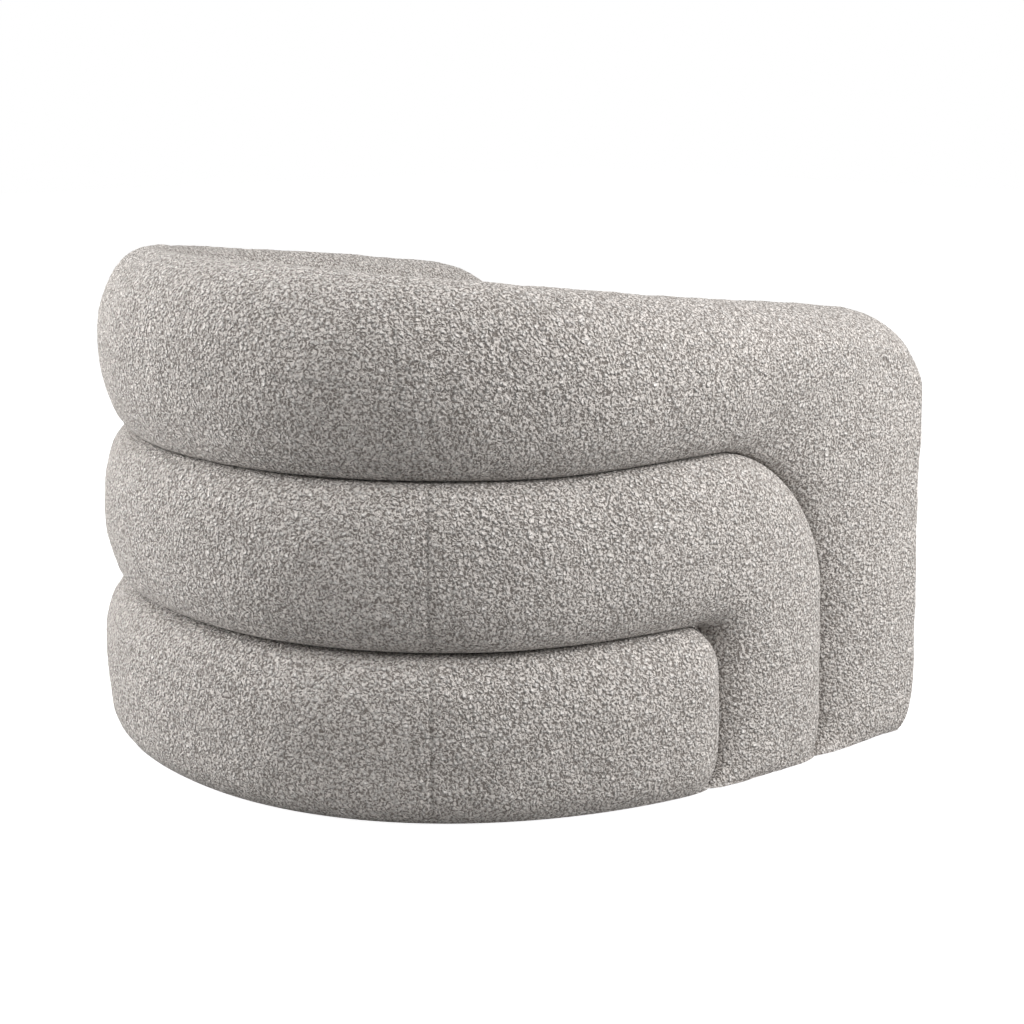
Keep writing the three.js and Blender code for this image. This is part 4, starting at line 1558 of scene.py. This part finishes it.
@dataclass
class InsideBack(Upholstery):
    """The padded lining between the seat and the top roll's inner seam."""

    pitch: float = 6.0 * MM
    seam: float = 0.369
    rows: int = 30
    lip_count: int = 6
    lip_relief: float = 0.3
    crown: float = 4.0 * MM
    fill: float = 0.7
    seed: int = 41

    def build(self) -> bpy.types.Object:
        """Makes the lining.

        Returns:
            The piece.
        """
        wall = self.wall
        arm_run = wall.half_run - wall.seam_drop - wall.bend_low - wall.back_end
        stations = Stations(wall, self.pitch, self.seam, arm_run)
        seam = stations.inner_seam()
        skip = stations.foot_count + stations.leg_count
        s, crest = seam.s[skip:-skip], seam.z[skip:-skip]
        foot, top = wall.deck + GAP, crest - SOFT_GAP / 2
        grid, weight = [wall.at(s, foot, wall.lining_depth), wall.at(s, top, wall.lining_depth)], [0.0, 0.0]
        for turn in np.linspace(0.0, math.pi / 2, self.lip_count)[1:]:
            z = top - wall.seam_round * (1 - math.cos(turn))
            inset = wall.seam_round * (1 - math.sin(turn))
            grid.append(wall.at(s, z, wall.inner_face(s, z) - inset))
            weight.append(self.lip_relief)
        start = top - wall.seam_round
        seat_top = wall.deck + wall.cushion_height
        for share in np.linspace(0.0, 1.0, self.rows)[1:]:
            z = start + (foot - start) * share
            above = np.clip(np.maximum(z - seat_top, 0.0) / (start - wall.deck - wall.cushion_height), 0, 1)
            swell = self.crown * np.sin(above * math.pi)
            grid.append(wall.at(s, z, wall.inner_face(s, z) + swell))
            weight.append(float(smooth(1 - share) ** 0.5))
        grid = np.stack(grid, 1)
        # The lining faces the middle of the tub, so its relief takes the other sign
        weights = -np.broadcast_to(np.array(weight)[None, :], grid.shape[:2])
        grid = self.raised(grid, weights, self.seed)
        return self.settle(tube_piece("inside_back_lining", grid), "inside_back", self.fill)


# Seat


@dataclass
class SeatCushion(Upholstery):
    """The loose seat cushion: boxed, crowned, and filled by blowing it up as cloth."""

    setback: float = 0.014
    corner: float = 0.046
    edge: float = 0.026
    crown: float = 0.020
    bottom: float = 0.2602
    shrink: float = 6.0 * MM
    side_count: int = 150
    corner_count: int = 14
    front_count: int = 40
    core_draw: float = 0.97
    bottom_count: int = 12
    edge_count: int = 7
    height_count: int = 8
    crown_count: int = 16
    voxel: float = 8.0 * MM
    cap: float = 9.0 * MM
    pressure: float = 4.0
    stretch_stiffness: float = 25.0
    bend_stiffness: float = 1.5
    frames: int = 20
    seam_inset: float = 0.020
    seam_draw: float = 2.6 * MM
    seam_half: float = 3.5 * MM
    welt_share: float = 0.5
    welt_away: float = 9 * MM
    welt_half: float = 4 * MM
    side_tilt: float = 0.92
    side_ease: float = 0.3
    fill: float = 0.8
    seed: int = 53

    def level(self, rise: float, inset: float, draw: float = 0.0) -> np.ndarray:
        """The cushion's outline at a height.

        Args:
            rise: the height above its bottom.
            inset: how far it is drawn in from the sides.
            draw: the share by which it is drawn in to the middle.

        Returns:
            The outline's points.
        """
        wall = self.wall
        front = wall.nose_y + self.setback + inset
        end = wall.quarter_run - (front + self.corner)
        run = np.linspace(0.0, end, self.side_count)
        x, y = wall.plan(run, wall.inner_face(run, np.full_like(run, wall.deck)) + SOFT_GAP + inset)
        turn = np.linspace(0.0, math.pi / 2, self.corner_count)[1:]
        x = np.concatenate([x, x[-1] - self.corner * (1 - np.cos(turn))])
        y = np.concatenate([y, y[-1] - self.corner * np.sin(turn)])
        x, y = mirrored_plan(x, y, self.front_count)
        centre = (wall.back_reach - wall.wall_thickness - wall.back_rake + wall.nose_y + self.setback) / 2
        x, y = x * (1 - draw), centre + (y - centre) * (1 - draw)
        return np.stack([x, y - wall.middle_y, np.full_like(x, self.bottom + rise)], -1)

    def form(self) -> bpy.types.Object:
        """The cut cushion, a little smaller than the filled one.

        Returns:
            The object.
        """
        height, edge, slim = self.wall.cushion_height, self.edge, self.shrink
        turns = np.linspace(0.0, math.pi / 2, self.edge_count)
        draws = np.linspace(self.core_draw, 0.0, self.bottom_count)
        rings = [self.level(slim, edge, draw) for draw in draws]
        for t in turns:
            rise, inset = slim + edge / 2 * (1 - math.cos(t)), slim + edge / 2 * (1 - math.sin(t))
            rings.append(self.level(rise, inset))
        sides = np.linspace(edge / 2, height - edge, self.height_count)[1:-1]
        rings += [self.level(slim + rise, slim) for rise in sides]
        top = height - edge - slim
        rings += [self.level(top + edge * math.sin(t), slim + edge * (1 - math.cos(t))) for t in turns]
        for draw in np.linspace(0.0, self.core_draw, self.crown_count)[1:]:
            rise = self.crown * (1 - (1 - draw) ** 2)
            rings.append(self.level(height - slim + rise, edge + slim, draw))
        return tube_piece("cushion_form", np.stack(rings))

    def build(self) -> bpy.types.Object:
        """Makes the cushion.

        Returns:
            The piece.
        """
        piece = self.form()
        piece.name = "seat_pad"
        remesh = piece.modifiers.new("even", "REMESH")
        remesh.mode, remesh.voxel_size = "VOXEL", self.voxel
        bake_modifiers(piece)
        self.blow_up(piece)
        rounder = piece.modifiers.new("rounder", "SUBSURF")
        rounder.levels = rounder.render_levels = 1
        bake_modifiers(piece)
        self.sew(piece)
        return self.settle(piece, "seat_cushion", self.fill)

    def blow_up(self, piece: bpy.types.Object) -> None:
        """Fills the cut cushion under pressure and caps how far any point moves.

        Args:
            piece: the evenly meshed form, whose points are moved.
        """
        rest = points_of(piece.data)
        cloth = piece.modifiers.new("fill", "CLOTH").settings
        cloth.use_pressure = True
        cloth.uniform_pressure_force = self.pressure
        cloth.effector_weights.gravity = 0.0
        cloth.tension_stiffness = cloth.compression_stiffness = self.stretch_stiffness
        cloth.bending_stiffness = self.bend_stiffness
        scene = bpy.context.scene
        for number in range(1, self.frames + 1):
            scene.frame_set(number)
        filled = points_of(piece.evaluated_get(bpy.context.evaluated_depsgraph_get()).data)
        piece.modifiers.clear()
        scene.frame_set(1)
        move = filled - rest
        length = np.linalg.norm(move, axis=1, keepdims=True)
        held = self.cap * np.tanh(length / self.cap)
        set_points(piece.data, rest + move * held / np.maximum(length, TINY))

    def sew(self, piece: bpy.types.Object) -> None:
        """Draws in the two boxing seams, with a low welt beside each, and adds the cloth's relief.

        Args:
            piece: the filled cushion, whose points are moved.
        """
        points = points_of(piece.data)
        normals = np.zeros(len(points) * 3)
        piece.data.vertices.foreach_get("normal", normals)
        normals = normals.reshape(-1, 3)
        low = self.bottom + self.seam_inset
        high = self.bottom + self.wall.cushion_height - self.seam_inset
        side = smooth((self.side_tilt - np.abs(normals[:, 2])) / self.side_ease)
        sunk = np.zeros(len(points))
        for level in (low, high):
            away = points[:, 2] - level
            sunk += self.seam_draw * np.exp(-((away / self.seam_half) ** 2)) * side
            welt = np.exp(-(((np.abs(away) - self.welt_away) / self.welt_half) ** 2))
            sunk -= self.welt_share * self.seam_draw * welt * side
        relief = self.cover.relief(points, self.seed) - sunk
        set_points(piece.data, points + normals * relief[:, None])


@dataclass
class FrontBorder(Upholstery):
    """The upholstered band under the cushion, between the arms."""

    setback: float = 0.026
    round: float = 0.012
    bulge: float = 0.005
    columns: int = 150
    rows: int = 40
    edge_count: int = 8
    fill: float = 0.6
    seed: int = 61

    def build(self) -> bpy.types.Object:
        """Makes the border as a padded board: a rounded face that swells a little in its middle.

        Returns:
            The piece.
        """
        wall = self.wall
        face = wall.nose_y + self.setback
        back = wall.frame_front_y - SOFT_GAP
        run = np.array([wall.quarter_run - face])
        half = float(wall.plan(run, wall.inner_face(run, np.zeros(1)) + SOFT_GAP)[0][0])
        low, high = wall.base_level, wall.deck + GAP
        across = self.spread(half, self.columns)
        up = self.spread((high - low) / 2, self.rows) + (high + low) / 2
        grid = np.zeros((len(up), len(across), 3))
        grid[..., 0], grid[..., 2] = across[None, :], up[:, None]
        side = np.minimum(half - np.abs(across), self.round)[None, :]
        edge = np.minimum(np.minimum(up - low, high - up), self.round)[:, None]
        nick = self.round - np.sqrt(np.maximum(self.round**2 - (self.round - side) ** 2, 0.0))
        nick = nick + self.round - np.sqrt(np.maximum(self.round**2 - (self.round - edge) ** 2, 0.0))
        crown = np.sin((up - low) / (high - low) * math.pi)
        swell = self.bulge * (1 - (across / half) ** 2)[None, :] * crown[:, None]
        relief = self.cover.relief(grid, self.seed) * smooth(np.minimum(side, edge) / self.round)
        grid[..., 1] = face + nick - swell - relief - wall.middle_y
        return self.settle(self.backed(grid, back - wall.middle_y), "front_border", self.fill)

    def spread(self, half: float, count: int) -> np.ndarray:
        """Places across the border, close together within the rounding at both ends.

        Args:
            half: how far they reach to either side.
            count: how many lie between the roundings, its two ends with them.

        Returns:
            The places, from -half to half.
        """
        turn = np.linspace(0.0, math.pi / 2, self.edge_count)
        ends = self.round * (1 - np.cos(turn))
        inner = np.linspace(-half + self.round, half - self.round, count)[1:-1]
        return np.concatenate([-half + ends, inner, (half - ends)[::-1]])

    def backed(self, grid: np.ndarray, back: float) -> bpy.types.Object:
        """Closes a face grid with sides and a flat back.

        Args:
            grid: rows by columns by three.
            back: where the back lies along Y.

        Returns:
            The object.
        """
        rows, columns, _ = grid.shape
        index = np.arange(rows * columns).reshape(rows, columns)
        quads = np.stack([index[:-1, :-1], index[:-1, 1:], index[1:, 1:], index[1:, :-1]], -1)
        faces = quads.reshape(-1, 4).tolist()
        rim = np.concatenate([index[0], index[1:, -1], index[-1, :-1][::-1], index[1:-1, 0][::-1]])
        points = grid.reshape(-1, 3)
        behind = points[rim].copy()
        behind[:, 1] = back
        start, count = len(points), len(rim)
        for i in range(count):
            j = (i + 1) % count
            faces.append([int(rim[j]), int(rim[i]), start + i, start + j])
        faces.append([start + i for i in range(count)])
        return new_piece("front_band", np.concatenate([points, behind]), faces)


# Cloth sheets under and inside the seat


def webbing_nodes() -> list[str]:
    """The names of the straps' plain solids, in order."""
    return sorted(name for name in frame["nodes"] if "webbing" in name)


@dataclass
class FlatCloth:
    """A flat cloth cut to the tub's plan: where it lies, how far it reaches and how it hangs."""

    wall: TubWall
    wardrobe: Wardrobe
    name: str
    node: str
    slot: Slot
    depth: Callable[[np.ndarray], np.ndarray]
    front: float
    level: float
    thickness: float
    sag: float
    ruffle: float
    held: str
    rests_on: tuple[str, ...]
    side_count: int = 130
    front_count: int = 36
    ring_count: int = 26
    core: float = 0.02
    ring_power: float = 0.8
    edge_share: float = 0.25
    sag_swing: float = 0.25
    sag_length: float = 0.30
    ruffle_length: float = 0.05
    edge_ruffle: float = 0.3
    seed: int = 71

    def outline(self) -> np.ndarray:
        """The cut's outline in plan, centred on the origin.

        Returns:
            The outline's points, in rows.
        """
        wall = self.wall
        run = np.linspace(0.0, wall.quarter_run - self.front, self.side_count)
        x, y = mirrored_plan(*wall.plan(run, self.depth(run)), self.front_count)
        return np.stack([x, y - wall.middle_y], -1)

    def build(self) -> bpy.types.Object:
        """Makes the cloth, thin and closed, with a soft edge.

        Returns:
            The piece.
        """
        edge = self.outline()
        centre = (edge.min(0) + edge.max(0)) / 2
        draws = 1 - np.linspace(1.0, self.core, self.ring_count) ** self.ring_power
        flat = centre + (edge - centre) * (1 - draws)[:, None, None]
        place = np.concatenate([flat, np.zeros((*flat.shape[:2], 1))], -1)
        inward = smooth(draws / self.edge_share)[:, None]
        swing = 1 - self.sag_swing + self.sag_swing * waves(place, self.sag_length, self.seed)
        ruffled = self.edge_ruffle + (1 - self.edge_ruffle) * inward
        ruffle = self.ruffle * waves(place, self.ruffle_length, self.seed + 2) * ruffled
        droop = np.clip(self.sag * inward * swing + ruffle, 0.0, None)
        under, over = place.copy(), place.copy()
        under[..., 2] = self.level - droop
        over[..., 2] = self.level - droop + self.thickness
        middle = (under[:1] + over[:1]) / 2
        middle[..., :2] += (middle[..., :2] - centre) * (self.thickness / 2 / np.abs(edge - centre).max())
        grid = np.concatenate([under[::-1], middle, over])
        piece = tube_piece(self.name, grid)
        self.wardrobe.stand_in(piece, self.node, self.slot)
        return piece


@dataclass
class Webbing:
    """Elastic straps under the seat felt, laced over and under one another, with bound edges."""

    wardrobe: Wardrobe
    width: float = 0.050
    thickness: float = 0.002
    step: float = 0.004
    match: float = 2e-5
    underside_shares: tuple[Span, ...] = (
        (-1, 0.3), (-0.97, 0), (-0.9, 0.05), (0, 0.05), (0.9, 0.05), (0.97, 0), (1, 0.3),
    )

    def build(self) -> list[bpy.types.Object]:
        """Makes every strap in the place of its plain solid.

        Returns:
            The pieces.
        """
        return [self.strap(name) for name in webbing_nodes()]

    def strap(self, name: str) -> bpy.types.Object:
        """Makes one strap along the solid's own rise and fall.

        Args:
            name: the solid's name.

        Returns:
            The piece.
        """
        solid = points_of(frame["nodes"][name].data)
        axis = 1 if name.startswith("long") else 0
        cross = 1 - axis
        centre = float(solid[:, cross].mean())
        under = solid[solid[:, cross] < centre]
        keys = np.unique(np.round(under[:, axis], 5))
        floor = np.array([under[np.abs(under[:, axis] - key) < self.match][:, 2].min() for key in keys])
        t = np.linspace(keys[0], keys[-1], round((keys[-1] - keys[0]) / self.step))
        z = np.interp(t, keys, floor)
        half, thick = self.width / 2, self.thickness
        section = np.array(self.underside_shares)
        section = np.concatenate([section, [(a, 1 - b) for a, b in section[::-1]]])
        grid = np.zeros((len(t), len(section), 3))
        grid[..., axis] = t[:, None]
        grid[..., cross] = centre + half * section[None, :, 0]
        grid[..., 2] = z[:, None] + thick * section[None, :, 1]
        piece = tube_piece(name.replace("webbing", "strap"), grid)
        self.wardrobe.stand_in(piece, name, Slot.WEBBING)
        return piece


# Frame


@dataclass
class ShownFrame:
    """The frame's own solids, which keep their shape and get their finish."""

    wardrobe: Wardrobe
    ply: tuple[str, ...] = ("base_panel", "seat_ring", "front_panel")

    def build(self) -> int:
        """Dresses every solid that still shows.

        Returns:
            How many were dressed.
        """
        slots = {row["node"]: row["material_slot"] for row in frame["record"]["subparts"]}
        shown = [(name, node) for name, node in frame["nodes"].items() if not node.hide_render]
        for name, node in shown:
            key = slots[name]
            if key == Slot.TIMBER.value:
                key = (Timber.PLY if name in self.ply else Timber.STRIP).value
            self.wardrobe.dress(node, key)
        return len(shown)


# Studio


@dataclass(frozen=True)
class Softbox:
    """One large lamp, placed by its direction from the chair."""

    name: str
    azimuth: float
    elevation: float
    power: float
    distance: float = 3.4
    size: float = 2.2

    def build(self, target: Vector) -> None:
        """Hangs the lamp and turns it to the chair.

        Args:
            target: what it points at.
        """
        lamp = bpy.data.lights.new(self.name, "AREA")
        lamp.shape, lamp.size, lamp.energy = "SQUARE", self.size, self.power
        piece = bpy.data.objects.new(self.name, lamp)
        bpy.context.scene.collection.objects.link(piece)
        turn, rise = math.radians(self.azimuth), math.radians(self.elevation)
        way = Vector((math.cos(turn) * math.cos(rise), math.sin(turn) * math.cos(rise), math.sin(rise)))
        piece.location = target + way * self.distance
        piece.rotation_euler = way.to_track_quat("Z", "Y").to_euler()


@dataclass
class Studio:
    """Camera, lamps, white room and floor."""

    place: Triple = (-2.1480, 1.80935, 0.9487)
    heading: float = 42.257
    tilt: float = 12.918
    lens: float = 67.545
    sensor: float = 36.0
    ambient: float = 0.10
    white: Colour = (1.0, 1.0, 1.0, 1.0)
    floor_half: float = 12.0
    floor_tone: float = 0.46
    floor_roughness: float = 0.9
    target: Triple = (0.0, 0.0, 0.35)
    lamps: tuple[Softbox, ...] = (
        Softbox("overhead", 140.0, 60.0, 50.0),
        Softbox("left_high", -160.0, 32.0, 122.0),
        Softbox("left_low", -125.0, 8.0, 33.0),
        Softbox("right_high", 45.0, 32.0, 79.0),
        Softbox("right_low", 45.0, 8.0, 102.0),
        Softbox("front_top", -40.0, 60.0, 14.0),
    )

    def hang_camera(self) -> bpy.types.Object:
        """Sets the camera where the picture was taken from.

        Returns:
            The camera.
        """
        data = bpy.data.cameras.new("camera")
        data.lens, data.sensor_width = self.lens, self.sensor
        camera = bpy.data.objects.new("camera", data)
        bpy.context.scene.collection.objects.link(camera)
        turn, dip = math.radians(self.heading), math.radians(self.tilt)
        ahead = Vector((math.cos(turn) * math.cos(dip), -math.sin(turn) * math.cos(dip), -math.sin(dip)))
        camera.location = self.place
        camera.rotation_euler = (-ahead).to_track_quat("Z", "Y").to_euler()
        bpy.context.scene.camera = camera
        return camera

    def build(self) -> None:
        """Lights the room and lays the floor."""
        bpy.context.scene.view_settings.view_transform = "Standard"
        for lamp in self.lamps:
            lamp.build(Vector(self.target))
        self.paint_room()
        self.lay_floor()

    def paint_room(self) -> None:
        """A room that is white to the eye and plain soft light to the chair."""
        world = bpy.data.worlds.new("room")
        bpy.context.scene.world = world
        world.use_nodes = True
        nodes, links = world.node_tree.nodes, world.node_tree.links
        nodes.clear()
        seen, soft = nodes.new("ShaderNodeBackground"), nodes.new("ShaderNodeBackground")
        seen.inputs["Color"].default_value = soft.inputs["Color"].default_value = self.white
        soft.inputs["Strength"].default_value = self.ambient
        share = self.seen_share(nodes, links)
        mix = nodes.new("ShaderNodeMixShader")
        links.new(share, mix.inputs[0])
        links.new(soft.outputs[0], mix.inputs[1])
        links.new(seen.outputs[0], mix.inputs[2])
        links.new(mix.outputs[0], nodes.new("ShaderNodeOutputWorld").inputs["Surface"])

    @staticmethod
    def seen_share(nodes: bpy.types.Nodes, links: bpy.types.NodeLinks) -> bpy.types.NodeSocket:
        """Tells rays that are seen from light on the chair.

        Args:
            nodes: the tree's nodes.
            links: the tree's links.

        Returns:
            A socket, 1 for the eye, a reflection or a clear piece, and 0 for other light.
        """
        path = nodes.new("ShaderNodeLightPath")
        total = path.outputs["Is Camera Ray"]
        for name in ("Is Glossy Ray", "Is Transmission Ray"):
            join = nodes.new("ShaderNodeMath")
            join.operation = "MAXIMUM"
            links.new(total, join.inputs[0])
            links.new(path.outputs[name], join.inputs[1])
            total = join.outputs[0]
        return total

    def lay_floor(self) -> None:
        """A pale floor that reads as white where it is fully lit and keeps the chair's shadow."""
        half = self.floor_half
        corners = np.array([(-half, -half, 0.0), (half, -half, 0.0), (half, half, 0.0), (-half, half, 0.0)])
        floor = new_piece("floor", corners, [(0, 1, 2, 3)])
        material = bpy.data.materials.new("pale_floor")
        material.use_nodes = True
        nodes, links = material.node_tree.nodes, material.node_tree.links
        base = nodes["Principled BSDF"]
        base.inputs["Base Color"].default_value = (*(self.floor_tone,) * 3, 1.0)
        base.inputs["Roughness"].default_value = self.floor_roughness
        base.inputs["Specular IOR Level"].default_value = 0.0
        glow = nodes.new("ShaderNodeEmission")
        glow.inputs["Strength"].default_value = 1.0 - self.floor_tone * self.ambient
        both = nodes.new("ShaderNodeAddShader")
        mix = nodes.new("ShaderNodeMixShader")
        links.new(base.outputs[0], both.inputs[0])
        links.new(glow.outputs[0], both.inputs[1])
        links.new(self.seen_share(nodes, links), mix.inputs[0])
        links.new(base.outputs[0], mix.inputs[1])
        links.new(both.outputs[0], mix.inputs[2])
        links.new(mix.outputs[0], nodes["Material Output"].inputs["Surface"])
        floor.data.materials.append(material)


def flat_cloths(wall: TubWall, wardrobe: Wardrobe) -> list[FlatCloth]:
    """The felt on the webbing and the dust cover under the base.

    Args:
        wall: the tub's wall.
        wardrobe: the finishes.

    Returns:
        The two cloths.
    """
    hem_depth = 40 * MM
    felt = FlatCloth(
        wall, wardrobe, "seat_felt", "deck_felt", Slot.FELT,
        depth=lambda run: wall.inner_face(run, np.full_like(run, wall.deck)) + SOFT_GAP,
        front=wall.frame_front_y, level=254.9 * MM, thickness=5 * MM,
        sag=0.0, ruffle=0.0, held="laid", rests_on=tuple(webbing_nodes()),
    )
    cover = FlatCloth(
        wall, wardrobe, "base_cloth", "dust_cover", Slot.DUST_CLOTH,
        depth=lambda run: np.full_like(run, hem_depth),
        front=wall.frame_front_y - SOFT_GAP, level=6.3 * MM, thickness=0.8 * MM,
        sag=2.4 * MM, ruffle=0.5 * MM, held="stretched", rests_on=("base_panel",),
    )
    return [felt, cover]


def main() -> None:
    """Builds the chair piece by piece."""
    logging.basicConfig(level=logging.INFO, format="%(name)s: %(message)s")
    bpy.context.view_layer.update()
    studio = Studio()
    studio.hang_camera()
    wall, cover, wardrobe = TubWall(), Cover(), Wardrobe()
    wardrobe.stock()
    shared = (wall, cover, wardrobe)
    for maker in (TopRoll, MiddleRoll, BottomRoll, InsideBack, SeatCushion, FrontBorder):
        piece = maker(*shared).build()
        LOG.info("%s: %d faces", piece.name, len(piece.data.polygons))
    for cloth in flat_cloths(wall, wardrobe):
        LOG.info("%s: %d faces", cloth.name, len(cloth.build().data.polygons))
    LOG.info("straps: %d", len(Webbing(wardrobe).build()))
    LOG.info("frame solids dressed: %d", ShownFrame(wardrobe).build())
    studio.build()


if __name__ == "__main__":
    main()
